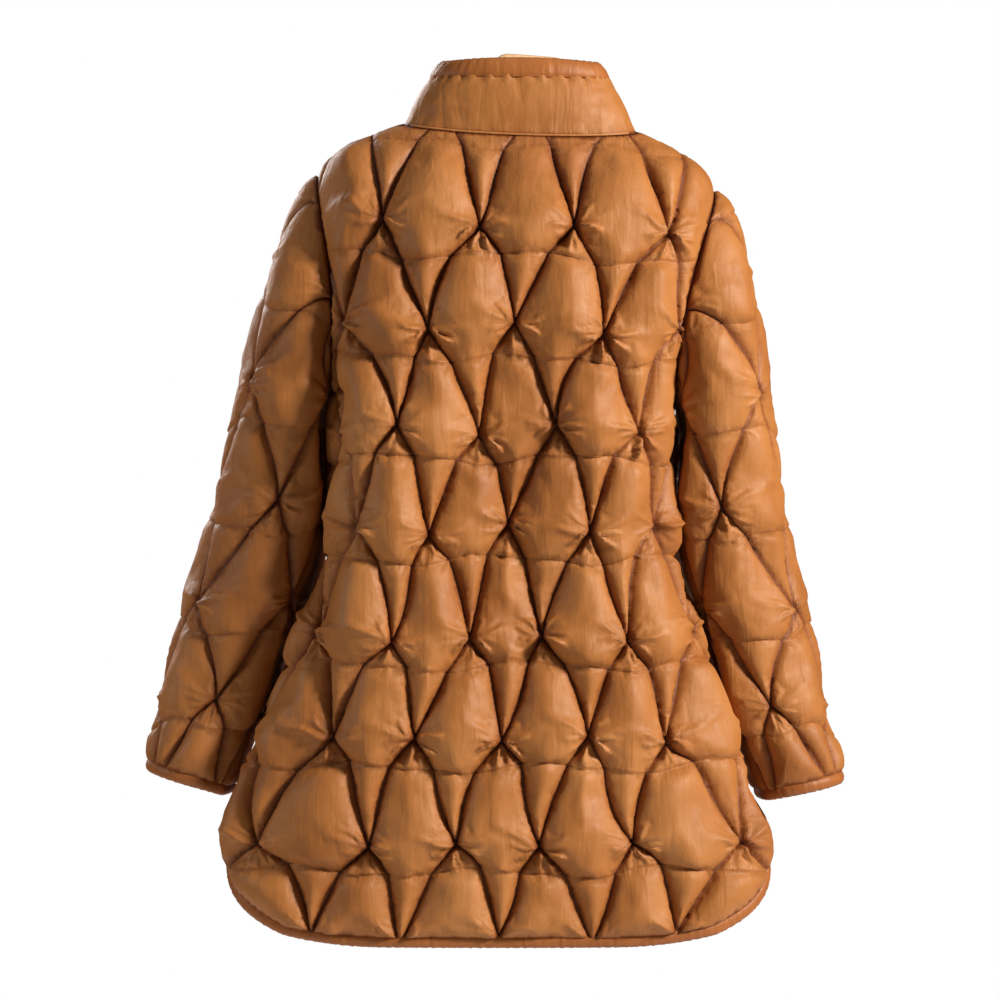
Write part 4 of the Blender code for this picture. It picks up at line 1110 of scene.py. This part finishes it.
# Satin-weave nylon, calendered so that it holds down: a smooth warm gloss that breaks in fine wrinkles.
# Each bump is its strength and its height.
nylon = {
    "colours": ("#985926", "#A5652E", "#B1723B"),
    "paintedSeamShade": ("#FFFFFF", "#CDB39A", "#8A6A4E"),  # painted shade: the cloth colour is darkened in and beside the seams, where little light comes out
    "roughness": 0.56,
    "specular": 0.42,
    "tint": "#FFEEDC",
    "thread": 0.0007,  # real threads are 0.12 mm apart; drawn coarse so that they show close up
    "threadBump": (0.10, 0.0004),
    "crumple": 0.011,  # size of the soft dents in the taut cloth
    "crumpleBump": (0.22, 0.0014),
    "streak": (0.011, 0.060),  # width and length of the faint folds that run down the cloth
    "streakBump": (0.42, 0.0030),
    "pucker": 0.0042,  # spacing of the small folds that run out from a seam
    "puckerReach": (0.0, 0.014),
    "puckerBump": (0.45, 0.0017),
    "spokeReach": (0.003, 0.042),  # creases that fan out from where seams meet
    "spokeBump": (0.35, 0.0060),
}


def satinNylon(name, colours, roughness, puckersAndSeamShade=True):
    material, tree, shader = newMaterial(
        name, roughness, Specular_IOR_Level=nylon["specular"], Specular_Tint=linear(nylon["tint"])
    )
    place = objectPlace(tree)
    blotch = noise(tree, place, 9.0, 4.0, Roughness=0.6)
    colour = rampOf(tree, blotch, *zip((0.32, 0.50, 0.70), colours))
    if puckersAndSeamShade:
        # painted shade: the colour is multiplied darker where the seams and their meetings are
        shade = rampOf(tree, marked(tree, "paintedSeamShade"), *zip((0.0, 0.5, 1.0), nylon["paintedSeamShade"]))
        colour = multiplied(tree, 1.0, colour, shade)
    tree.links.new(colour, shader.inputs["Base Color"])
    weave = addNode(
        tree, "ShaderNodeTexWave", {"wave_type": "BANDS", "bands_direction": "DIAGONAL"},
        Vector=scaled(tree, place, 1, 1, 0.35), Scale=0.35 / nylon["thread"], Distortion=1.5, Detail=1.0,
    ).outputs["Fac"]
    crumple = noise(tree, place, 1 / nylon["crumple"], 3.0, Roughness=0.55, Distortion=0.8)
    wide, long = nylon["streak"]
    streaks = noise(
        tree, scaled(tree, place, 1 / wide, 1 / wide, 1 / long), 1.0, 2.0, Roughness=0.5, Distortion=0.6
    )
    bump = bumped(tree, weave, *nylon["threadBump"])
    bump = bumped(tree, crumple, *nylon["crumpleBump"], Normal=bump)
    bump = bumped(tree, streaks, *nylon["streakBump"], Normal=bump)
    if puckersAndSeamShade:
        away = marked(tree, "seamAway")
        run = addNode(tree, "ShaderNodeCombineXYZ", X=marked(tree, "seamAlong"), Y=away).outputs[0]
        small = noise(tree, scaled(tree, run, 1 / nylon["pucker"], 45, 1), 1.0, 2.0, Roughness=0.5)
        bump = bumped(tree, faded(tree, small, away, *nylon["puckerReach"]), *nylon["puckerBump"], Normal=bump)
        x, y, which = (marked(tree, label) for label in ("foldX", "foldY", "foldWhich"))
        fan = addNode(tree, "ShaderNodeCombineXYZ", X=x, Y=y, Z=which).outputs[0]
        spokes = faded(
            tree, noise(tree, fan, 2.6, 3.0, Roughness=0.6), marked(tree, "foldAway"), *nylon["spokeReach"]
        )
        bump = bumped(tree, spokes, *nylon["spokeBump"], Normal=bump)
    tree.links.new(bump, shader.inputs["Normal"])
    gloss = addNode(
        tree, "ShaderNodeMapRange", Value=crumple, From_Min=0.3, From_Max=0.7,
        To_Min=roughness - 0.05, To_Max=roughness + 0.07,
    ).outputs[0]
    tree.links.new(gloss, shader.inputs["Roughness"])
    return material


shellCloth = satinNylon("satin down-proof nylon", nylon["colours"], nylon["roughness"])
trimCloth = satinNylon("nylon bias binding", ("#8E4F22", "#9B5826", "#A8642F"), 0.50, puckersAndSeamShade=False)
pipingCloth = satinNylon("nylon seam tape", ("#AA6A36", "#B6763F", "#C0824A"), 0.45, puckersAndSeamShade=False)
# Plain taffeta lining: the same colour, duller, because its threads aren't pressed flat.
liningCloth = satinNylon("nylon taffeta lining", ("#85481F", "#955427", "#A25E2E"), 0.52, puckersAndSeamShade=False)


def studMaterial():
    # Brass under a burnished bronze finish: dark, soft-edged highlights, rubbed lighter on the rim.
    material, tree, shader = newMaterial("burnished bronze stud", 0.33, Metallic=1.0)
    rub = noise(tree, objectPlace(tree), 420.0, 3.0)
    colour = rampOf(tree, rub, (0.35, "#5B3B22"), (0.55, "#7A5230"), (0.75, "#A87A4A"))
    tree.links.new(colour, shader.inputs["Base Color"])
    tree.links.new(bumped(tree, rub, 0.15, 0.0002), shader.inputs["Normal"])
    return material


def beech():
    # Sanded beech under clear lacquer: pale, with fine dark flecks 2 mm long and faint wide rings.
    material, tree, shader = newMaterial("lacquered beech", 0.42, Coat_Weight=0.25, Coat_Roughness=0.25)
    place = objectPlace(tree)
    rings = addNode(
        tree, "ShaderNodeTexWave", {"wave_type": "BANDS", "bands_direction": "Z"},
        Vector=scaled(tree, place, 0.12, 0.5, 1), Scale=55.0, Distortion=4.0, Detail=3.0, Detail_Scale=1.4,
    ).outputs["Fac"]
    fleck = noise(tree, scaled(tree, place, 180, 900, 1100), 1.0, 2.0)
    ground = rampOf(tree, rings, (0.0, "#E3B384"), (0.6, "#E9BE92"), (1.0, "#D9A473"))
    spots = rampOf(tree, fleck, (0.60, "#FFFFFF"), (0.72, "#C79060"))
    tree.links.new(multiplied(tree, 0.6, ground, spots), shader.inputs["Base Color"])
    tree.links.new(bumped(tree, fleck, 0.12, 0.0003), shader.inputs["Normal"])
    return material


def threadMaterial():
    # Spun polyester sewing thread, 0.7 mm thick as drawn: dull, a shade darker than the cloth.
    material, tree, shader = newMaterial("polyester thread", 0.62, Sheen_Weight=0.2)
    ply = noise(tree, objectPlace(tree), 1800.0, 1.0)
    tree.links.new(rampOf(tree, ply, (0.35, "#7A4520"), (0.7, "#96592D")), shader.inputs["Base Color"])
    return material


studMetal, wood, thread = studMaterial(), beech(), threadMaterial()
report("materials")

rowHeights = [row[0] for row in quiltRows]
panelSpacing = {"back": 0.0050, "front": 0.0060, "sleeve": 0.0054, "collar": 0.0034}


# The back hangs in a shallow hollow beside its middle, deepest at the waist, and bulges a little on the left.
hollow = {"depth": 0.021, "across": 0.012, "width": 0.052, "height": 0.400, "tall": 0.160}
swell = {"depth": 0.022, "across": -0.130, "width": 0.050, "ends": 0.172, "fade": 0.034}


def backSurface(across, height):
    points = bodyPoint(across, height, "back")
    aside = (np.atleast_1d(across) - hollow["across"]) / hollow["width"]
    above = (np.atleast_1d(height) - hollow["height"]) / hollow["tall"]
    beside = (np.atleast_1d(across) - swell["across"]) / swell["width"]
    ends = unit((swell["ends"] - np.abs(np.atleast_1d(across))) / swell["fade"])
    shift = hollow["depth"] * np.exp(-(aside**2)) - swell["depth"] * np.exp(-(beside**2)) * ends
    points[:, 1] += shift * np.exp(-(above**4))
    return points


def bodyColumn(flat, face):
    # which diamond a place lies in, counted round from the centre
    width = smooth(quiltRows, 1, flat[:, 1])
    outer = np.maximum(sideDistance(flat[:, 1], face) - 2 * width, 0.04)
    outer = np.where(flat[:, 1] > coat["underarm"], width, outer)
    size = np.abs(flat[:, 0])
    return np.sign(flat[:, 0]) * np.where(size < 2 * width, size / width, 2 + (size - 2 * width) / outer)


def bodyMeetings(face):
    even = crossings(rowHeights, -7, 7, lambda column, height: (float(diamondAcross(column, height, face)), height))
    return even + wandered(even, face)


def evened(flat, face):
    # a flat place's spot in the even layout
    return flat - wandered(flat - wandered(flat, face), face)


def backRaised(flat, near):
    even = evened(flat, "back")
    return puffHeight(even, near, bodyColumn(even, "back"), rowHeights) * pressedFlat(flat, "back")


# The fronts have a plain strip along their edge for the studs; it is only lightly filled.
strip = {"width": 0.028, "clear": 0.010, "rise": 0.0030, "studs": (0.680, 0.130, 6), "studClear": 0.020}


def frontSeams(spacing):
    width = strip["width"]
    seams = [s for s in bodySeams("front", spacing) if min(s[0][0], s[1][0]) > width - strip["clear"]]
    seams = [(np.maximum(a, (width, -1)), np.maximum(b, (width, -1)), kind) for a, b, kind in seams]
    heights = np.arange(0.0, 0.70, 0.02)
    return seams + [(np.array((width, h)), np.array((width, h + 0.02)), "edge") for h in heights]


def frontRaised(flat, near):
    even = evened(flat, "front")
    full = puffHeight(even, near, bodyColumn(even, "front"), rowHeights) * pressedFlat(flat, "front")
    high, low, count = strip["studs"]
    toStud = np.min([np.hypot(flat[:, 0], flat[:, 1] - h) for h in np.linspace(high, low, count)], axis=0)
    soft = strip["rise"] * unit(near["away"] / 0.008) * unit(toStud / strip["studClear"] - 0.6)
    return np.where(flat[:, 0] < strip["width"], soft, full)


def sleeveWander(flat, edge):
    # the sleeves' quilting wanders more, but not at the underarm seam
    taper = unit(1 - (flat[:, 0] / edge) ** 2)
    return wandered(flat, "sleeve") * (sleeve["wander"] * taper)[:, None]


def sleeveSeams(side, edge, width, spacing):
    rows = [row + (sleeve["rightShift"] if side == "right" else 0) for row in sleeve["rows"]]
    seams = []
    for a, b, kind in quiltLines(rows, -edge, edge):
        if max(a[0], b[0]) > -edge and min(a[0], b[0]) < edge:
            ends = [np.array((np.clip(p[0], -edge, edge) * width, p[1])) for p in (a, b)]
            points = np.array(divided(*ends, spacing))
            points = points + sleeveWander(points, edge * width)
            seams += [(p, q, kind) for p, q in zip(points[:-1], points[1:])]
    return seams, rows


def makeSleeve(side):
    edge, width = sleeve["columns"] / 2, sleeve["columnWidth"]
    surface = sleeveSurface(side)
    spacing = panelSpacing["sleeve"]
    seams, rows = sleeveSeams(side, edge, width, spacing)

    def laid(across, height):
        return surface(across / width, height)

    def raised(flat, near):
        even = flat - sleeveWander(flat, edge * width)
        full = puffHeight(even, near, even[:, 0] / width, rows)
        inner = unit((np.abs(flat[:, 0] / width) - 1.35) / 0.5)
        top = unit((flat[:, 1] - 0.455) / 0.05)
        cut = armholeRing(side, wrapped(flat[:, 0] / width))[1]
        toHead = unit((cut[:, 1] - flat[:, 1]) / 0.080) * (1 - 0.40 * unit((flat[:, 1] - 0.56) / 0.07))
        full *= 1 - sleeve["thinSides"] * (1 - near["level"]) * unit((flat[:, 1] - 0.16) / 0.20)
        full = full * sleeve["fill"] * (1 - 0.35 * inner) * (1 - 0.5 * inner * top)
        return full * (sleeve["atHead"] + (1 - sleeve["atHead"]) * toHead)

    outline = sleeveOutline(side) * np.array([width, 1.0])
    met = crossings(rows, -3, 3, lambda column, height: (column * width, height))
    piece = padPanel(
        f"{side}Sleeve", outline, seams, laid, raised, spacing, sleeveFacing(side), tubeSeam=edge * width,
        met=met + sleeveWander(met, edge * width),
    )
    return finished(piece, "shell", [shellCloth, liningCloth], f"sleeve_{side}")


# The collar isn't quilted: it is one soft roll, gathered a little into its neck seam and its bound edge.
roll = {
    "rise": 0.0026,
    "span": 0.024,
    "gather": 0.0016,
    "gatherWidth": 0.0046,
    "topReach": 0.013,
    "neckReach": 0.014,
    "neckShare": 0.4,
    "join": (0.0018, 0.0024, 0.030),  # the seam at the centre back: depth, half width, length
    "push": 0.25,
}


def collarRaised(flat, near):
    along, up = flat.T
    started = unit(near["away"] / 0.004)
    full = roll["rise"] * np.sin(unit(near["away"] / roll["span"]) * math.pi / 2) * (0.1 + 0.9 * unit(up / 0.026))
    phase = along / roll["gatherWidth"]
    ripple = np.sin(phase * 2.1 + 1.3 * np.sin(phase * 0.37))
    ripple += 0.7 * np.sin(phase * 3.7 + 2.0 * np.sin(phase * 0.23 + 1))
    toTop = collar["height"] - collar["binding"] - up
    gathered = unit(1.2 - toTop / roll["topReach"]) + roll["neckShare"] * unit(1.1 - up / roll["neckReach"])
    underLap = unit((along + collar["halfLength"] - 0.034) / 0.02)
    depth, half, length = roll["join"]
    join = depth * np.exp(-((along / half) ** 2)) * unit(1.2 - toTop / length)
    return (full + roll["gather"] * ripple * (started * gathered)) * underLap - join * started


def makeBodies():
    spacing = panelSpacing["back"]
    back = padPanel(
        "backPanel", backOutline(), bodySeams("back", spacing), backSurface, backRaised, spacing,
        met=bodyMeetings("back"),
    )
    cloths = [shellCloth, liningCloth]
    made = [finished(back, "shell", cloths, "back")]
    spacing = panelSpacing["front"]
    for side, upper in (("right", True), ("left", False)):
        surface = frontSurface(side, upper)
        facing = -1 if side == "right" else 1
        piece = padPanel(
            f"{side}Front", frontOutline(upper), frontSeams(spacing), surface, frontRaised, spacing, facing,
            met=bodyMeetings("front"),
        )
        made.append(finished(piece, "shell", cloths, f"front_{side}"))
    made += [makeSleeve("left"), makeSleeve("right")]
    piece = padPanel(
        "collarRoll", collarOutline(), [], collarSurface, collarRaised, panelSpacing["collar"],
        through=throughCollar, push=roll["push"],
    )
    made.append(finished(piece, "shell", cloths, "collar"))


makeBodies()

# Each bound edge is a bias strip folded over the cloth's edge and sewn through, a little gathered.
# Its profile: how far past the edge, and how far out of the cloth's face.
bindings = {
    "profile": (
        (-0.0036, 0.0003), (-0.0028, 0.0015), (-0.0005, 0.0026), (0.0030, 0.0027), (0.0062, 0.0016),
        (0.0080, -0.0004), (0.0080, -0.0026), (0.0062, -0.0044), (0.0030, -0.0054), (-0.0005, -0.0052),
        (-0.0030, -0.0040),
    ),
    "cloth": 0.0004,
    "gather": 0.00028,
    "gatherLength": 0.0085,
    "step": 0.0022,
    "cut": 0.030,
}


def evenly(path, step):
    # the same path with points this far apart
    path = np.asarray(path, float)
    run = np.concatenate([[0], np.cumsum(np.linalg.norm(np.diff(path, axis=0), axis=1))])
    at = np.linspace(0, run[-1], max(4, int(round(run[-1] / step))) + 1)
    return stacked(*(np.interp(at, run, column) for column in path.T))


def rounded(values, passes):
    for _ in range(passes):
        values = np.concatenate([values[:1], (values[:-2] + 2 * values[1:-1] + values[2:]) / 4, values[-1:]])
    return values


# A row of lock stitches holds each strip down, a little in from its edge.
stitching = {"pitch": 0.0034, "long": 0.0025, "thick": 0.00034, "past": -0.0016, "off": 0.0021, "sides": 5}


def stitchedDown(name, framing, length):
    points, out, beyond = (np.asarray(values) for values in framing)
    line = points + beyond * stitching["past"] + out * stitching["off"]
    at = np.arange(stitching["pitch"], length[-1] - stitching["pitch"], stitching["pitch"])
    grid, faces, n = [], [], stitching["sides"]
    for middle in at:
        ends = [
            np.array([np.interp(middle + half, length, line[:, c]) for c in range(3)])
            for half in (-stitching["long"] / 2, stitching["long"] / 2)
        ]
        up = np.array([np.interp(middle, length, out[:, c]) for c in range(3)])
        run = (ends[1] - ends[0]) / np.linalg.norm(ends[1] - ends[0])
        aside = np.cross(run, up)
        start = len(grid)
        grid.append(ends[0] - up * stitching["thick"])
        for share in (0.22, 0.78):
            centre = ends[0] + (ends[1] - ends[0]) * share
            for k in range(n):
                turn = 2 * math.pi * k / n
                grid.append(centre + (aside * math.cos(turn) + up * math.sin(turn)) * stitching["thick"])
        grid.append(ends[1] - up * stitching["thick"])
        first, last = start + 1, start + 1 + n
        for k in range(n):
            j = (k + 1) % n
            faces += [(start, first + j, first + k), (first + k, first + j, last + j, last + k)]
            faces.append((last + k, last + j, last + n))
    piece = meshPiece(f"{name}Stitches", grid, faces)
    turnedOut(piece)
    return finished(piece, "binding", [thread])


def boundStrip(name, framing, node, seed, closed=False, wide=1.0):
    points, out, beyond = framing
    draw = random.Random(seed)
    length = np.concatenate([[0], np.cumsum(np.linalg.norm(np.diff(points, axis=0), axis=1))])
    phases = [draw.uniform(0, 6.28) for _ in range(6)]
    wave = 2 * math.pi * length / bindings["gatherLength"]
    if closed:
        turns = max(3, round(length[-1] / bindings["gatherLength"]))
        wave = 2 * math.pi * turns * np.arange(len(points)) / len(points)
    grid = []
    for k, (past, off) in enumerate(bindings["profile"]):
        part = k / (len(bindings["profile"]) - 1)
        edge = math.sin(math.pi * part)
        ripple = np.sin(wave + phases[0] + 1.2 * part) * (0.7 + 0.5 * np.sin(wave * 0.21 + phases[1]))
        ripple += 0.6 * np.sin(wave * 1.7 + phases[2] + 2.0 * part)
        swell = bindings["gather"] * ripple * (0.35 + 0.65 * edge)
        direction = math.atan2(off + 0.0013, past - 0.002)
        grid.append(
            points
            + beyond * (past * wide + swell * math.cos(direction))[:, None]
            + out * (off + swell * math.sin(direction))[:, None]
        )
    grid = np.stack(grid, axis=1)
    rows, across = grid.shape[:2]
    faces = []
    for i in range(rows if closed else rows - 1):
        j = (i + 1) % rows
        faces += [(i * across + k, j * across + k, j * across + k + 1, i * across + k + 1) for k in range(across - 1)]
    piece = meshPiece(name, grid.reshape(-1, 3), faces)
    turnedOut(piece)
    only(piece)
    thicken = piece.modifiers.new("cloth", "SOLIDIFY")
    thicken.thickness = bindings["cloth"]
    thicken.offset = 0
    bpy.ops.object.modifier_apply(modifier="cloth")
    piece.data.shade_smooth()
    finished(piece, "binding", [trimCloth], node)
    stitchedDown(name, framing, length)
    return piece


def onePath(surface, path, facing):
    return edgeFrame(surface, rounded(evenly(path, bindings["step"]), 2), facing)


def makeBindings():
    right = hemPath("back")
    path = np.concatenate([right, right[-2::-1] * np.array([-1, 1])])[::-1]
    boundStrip("backHemBinding", onePath(backSurface, path, 1), "binding_back", 11)
    for seed, (side, upper) in enumerate((("right", True), ("left", False))):
        outline = frontOutline(upper)
        start = np.argmin(np.linalg.norm(outline - hemPath("front")[0], axis=1))
        path = outline[start:].copy()
        path[-1][1] -= 0.004
        facing = -1 if side == "right" else 1
        framing = onePath(frontSurface(side, upper), path[::-1], facing)
        boundStrip(f"{side}FrontBinding", framing, f"binding_front_{side}", 21 + seed)
    for seed, side in enumerate(("left", "right")):
        surface, width = sleeveSurface(side), sleeve["columnWidth"]
        columns = np.linspace(2, -2, 161)[:-1]
        path = stacked(columns, cuffHeight(side, columns))
        points = surface(*path.T)
        beyond = unitRows(surface(path[:, 0], path[:, 1] - 0.002) - points)
        out = sleeveFacing(side) * normalsOf(
            lambda across, height: surface(across / width, height), path[:, 0] * width, path[:, 1]
        )
        boundStrip(f"{side}CuffBinding", (points, out, beyond), f"binding_cuff_{side}", 31 + seed, closed=True)
    outline = collarOutline()
    lowRight = np.argmin(np.abs(outline[:, 0] - outline[:, 0].max()) + np.abs(outline[:, 1]))
    path = np.concatenate([outline[lowRight:], outline[:1]])
    path[0][1] += 0.003
    path[-1][1] += 0.003
    boundStrip("collarBinding", onePath(collarSurface, path, 1), "binding_collar", 41, wide=1.65)
    report("bindings")


makeBindings()

# The neck seam is covered at the back by a narrow corded tape.
tape = {"reach": 0.29, "points": 110, "radius": 0.0011, "sides": 8, "lift": 0.0010}


def makeNeckTape():
    turn = np.linspace(-tape["reach"], tape["reach"], tape["points"])
    centre = neckLine(turn) + neckNormals(turn) * tape["lift"]
    out = neckNormals(turn)
    side = np.cross(unitRows(np.gradient(centre, axis=0)), out)
    closing = np.minimum(1, np.minimum(np.arange(tape["points"]), np.arange(tape["points"])[::-1]) / 3 + 0.1)
    rings = []
    for k in range(tape["sides"]):
        angle = 2 * math.pi * k / tape["sides"]
        rings.append(centre + (out * math.cos(angle) + side * math.sin(angle)) * (tape["radius"] * closing)[:, None])
    grid = np.stack(rings, axis=1).reshape(-1, 3)
    n, faces = tape["sides"], []
    for i in range(tape["points"] - 1):
        faces += [(i * n + k, i * n + (k + 1) % n, (i + 1) * n + (k + 1) % n, (i + 1) * n + k) for k in range(n)]
    faces += [tuple(range(n))[::-1], tuple(range(len(grid) - n, len(grid)))]
    piece = meshPiece("neckTape", grid, faces)
    turnedOut(piece)
    return finished(piece, "binding", [pipingCloth])


makeNeckTape()

# Press-stud caps, turned and burnished: one is modelled and copied.
studs = {"radius": 0.0070, "height": 0.0026, "dish": 0.0046, "lift": 0.0006}


def makeStuds():
    bpy.ops.object.select_all(action="DESELECT")
    bpy.ops.mesh.primitive_cylinder_add(vertices=40, radius=studs["radius"], depth=studs["height"])
    first = bpy.context.active_object
    bpy.ops.object.mode_set(mode="EDIT")
    bpy.ops.mesh.select_all(action="DESELECT")
    shape = bmesh.from_edit_mesh(first.data)
    for face in shape.faces:
        face.select = face.normal.z > 0.9
    bmesh.update_edit_mesh(first.data)
    bpy.ops.mesh.bevel(offset=0.0008, segments=3)
    bpy.ops.mesh.select_all(action="DESELECT")
    shape = bmesh.from_edit_mesh(first.data)
    for face in shape.faces:
        face.select = face.normal.z > 0.99 and len(face.verts) > 10
    bmesh.update_edit_mesh(first.data)
    bpy.ops.mesh.inset(thickness=studs["radius"] - studs["dish"], depth=-0.0005)
    bpy.ops.mesh.inset(thickness=0.0012, depth=0.0004)
    bpy.ops.object.mode_set(mode="OBJECT")
    surface = frontSurface("right", True)
    high, low, count = strip["studs"]
    for number, height in enumerate(np.linspace(high, low, count)):
        cap = first if number == 0 else bpy.data.objects.new("cap", first.data.copy())
        if number:
            bpy.context.scene.collection.objects.link(cap)
        at = np.array([0.0]), np.array([height])
        out = Vector(-normalsOf(surface, *at)[0])
        middle = Vector(surface(*at)[0]) + out * (studs["lift"] + studs["height"] / 2)
        cap["place"] = list(middle)
        cap["out"] = list(out)
        cap.name = f"studCap{number + 1}"
    for number in range(count):
        cap = bpy.data.objects[f"studCap{number + 1}"]
        turn = Vector(cap["out"]).to_track_quat("Z", "Y").to_matrix().to_4x4()
        cap.data.transform(Matrix.Translation(Vector(cap["place"])) @ turn)
        cap.data.shade_smooth()
        only(cap)
        bpy.ops.object.shade_smooth_by_angle(angle=math.radians(40))
        finished(cap, "stud", [studMetal], f"stud_{number + 1}")
    report("studs")


makeStuds()


def makeHanger():
    # the turned and sanded hanger: the frame's form with its edges rounded over
    piece = bpy.data.objects.new("woodenHanger", frame["nodes"]["hanger"].data.copy())
    bpy.context.scene.collection.objects.link(piece)
    piece.data.materials.clear()
    shape = bmesh.new()
    shape.from_mesh(piece.data)
    bmesh.ops.remove_doubles(shape, verts=shape.verts, dist=1e-5)
    bmesh.ops.join_triangles(shape, faces=shape.faces, angle_face_threshold=0.2, angle_shape_threshold=0.6)
    bmesh.ops.recalc_face_normals(shape, faces=shape.faces)
    shape.to_mesh(piece.data)
    shape.free()
    only(piece)
    smoothing = piece.modifiers.new("sanded", "SUBSURF")
    smoothing.levels = smoothing.render_levels = 2
    bpy.ops.object.modifier_apply(modifier="sanded")
    piece.data.shade_smooth()
    finished(piece, "wood", [wood], "hanger")
    report("hanger")


makeHanger()

# A pale studio: one large soft light from the coat's right, a weaker one from the left, and a pale floor.
studio = {
    "floorHeight": -1.45,
    "floorSize": 3.2,
    "key": {"at": (2.45, -1.60, 0.75), "size": 0.55, "power": 165.0},
    "fill": {"at": (-2.5, -0.7, 0.1), "size": 1.2, "power": 22.0},
    "above": {"at": (0.1, -0.4, 2.2), "size": 1.4, "power": 8.0},
    "rear": {"at": (-1.6, 2.4, 0.9), "size": 1.4, "power": 60.0},
    "aim": (-0.03, 0.0, -0.42),
    "ambient": 0.04,
    "backdrop": 1.0,
}


def makeStudio():
    bpy.ops.object.select_all(action="DESELECT")
    bpy.ops.mesh.primitive_plane_add(size=studio["floorSize"], location=(0, 0, studio["floorHeight"]))
    floor = bpy.context.active_object
    floor.name = "studioFloor"
    material, tree, shader = newMaterial("matt painted floor", 0.75)
    grit = noise(tree, objectPlace(tree), 120.0, 3.0)
    tree.links.new(rampOf(tree, grit, (0.3, "#E9E7E3"), (0.7, "#EFEDEA")), shader.inputs["Base Color"])
    floor.data.materials.append(material)
    for name in ("key", "fill", "above", "rear"):
        said = studio[name]
        bpy.ops.object.light_add(type="AREA", location=said["at"])
        lamp = bpy.context.active_object
        lamp.name = f"{name}Light"
        lamp.data.size = said["size"]
        lamp.data.energy = said["power"]
        toAim = Vector(studio["aim"]) - Vector(said["at"])
        lamp.rotation_euler = toAim.to_track_quat("-Z", "Y").to_euler()
    world = bpy.data.worlds.new("studio")
    bpy.context.scene.world = world
    world.use_nodes = True
    tree = world.node_tree
    tree.nodes.clear()
    seen = addNode(tree, "ShaderNodeLightPath").outputs["Is Camera Ray"]
    light = addNode(tree, "ShaderNodeBackground", Color=(1, 1, 1, 1), Strength=studio["ambient"]).outputs[0]
    behind = addNode(tree, "ShaderNodeBackground", Color=(1, 1, 1, 1), Strength=studio["backdrop"]).outputs[0]
    both = addNode(tree, "ShaderNodeMixShader", n0=seen, n1=light, n2=behind).outputs[0]
    tree.links.new(both, addNode(tree, "ShaderNodeOutputWorld").inputs["Surface"])


makeStudio()

# The camera stands level with the middle of the coat, straight behind its back.
camera = {"at": (-0.03055, -3.2, -0.423), "lens": 121.2}
bpy.ops.object.camera_add(location=camera["at"], rotation=(math.radians(90), 0, 0))
bpy.context.active_object.data.lens = camera["lens"]
bpy.context.scene.camera = bpy.context.active_object
bpy.context.scene.view_settings.view_transform = "Standard"
report("studio and camera")
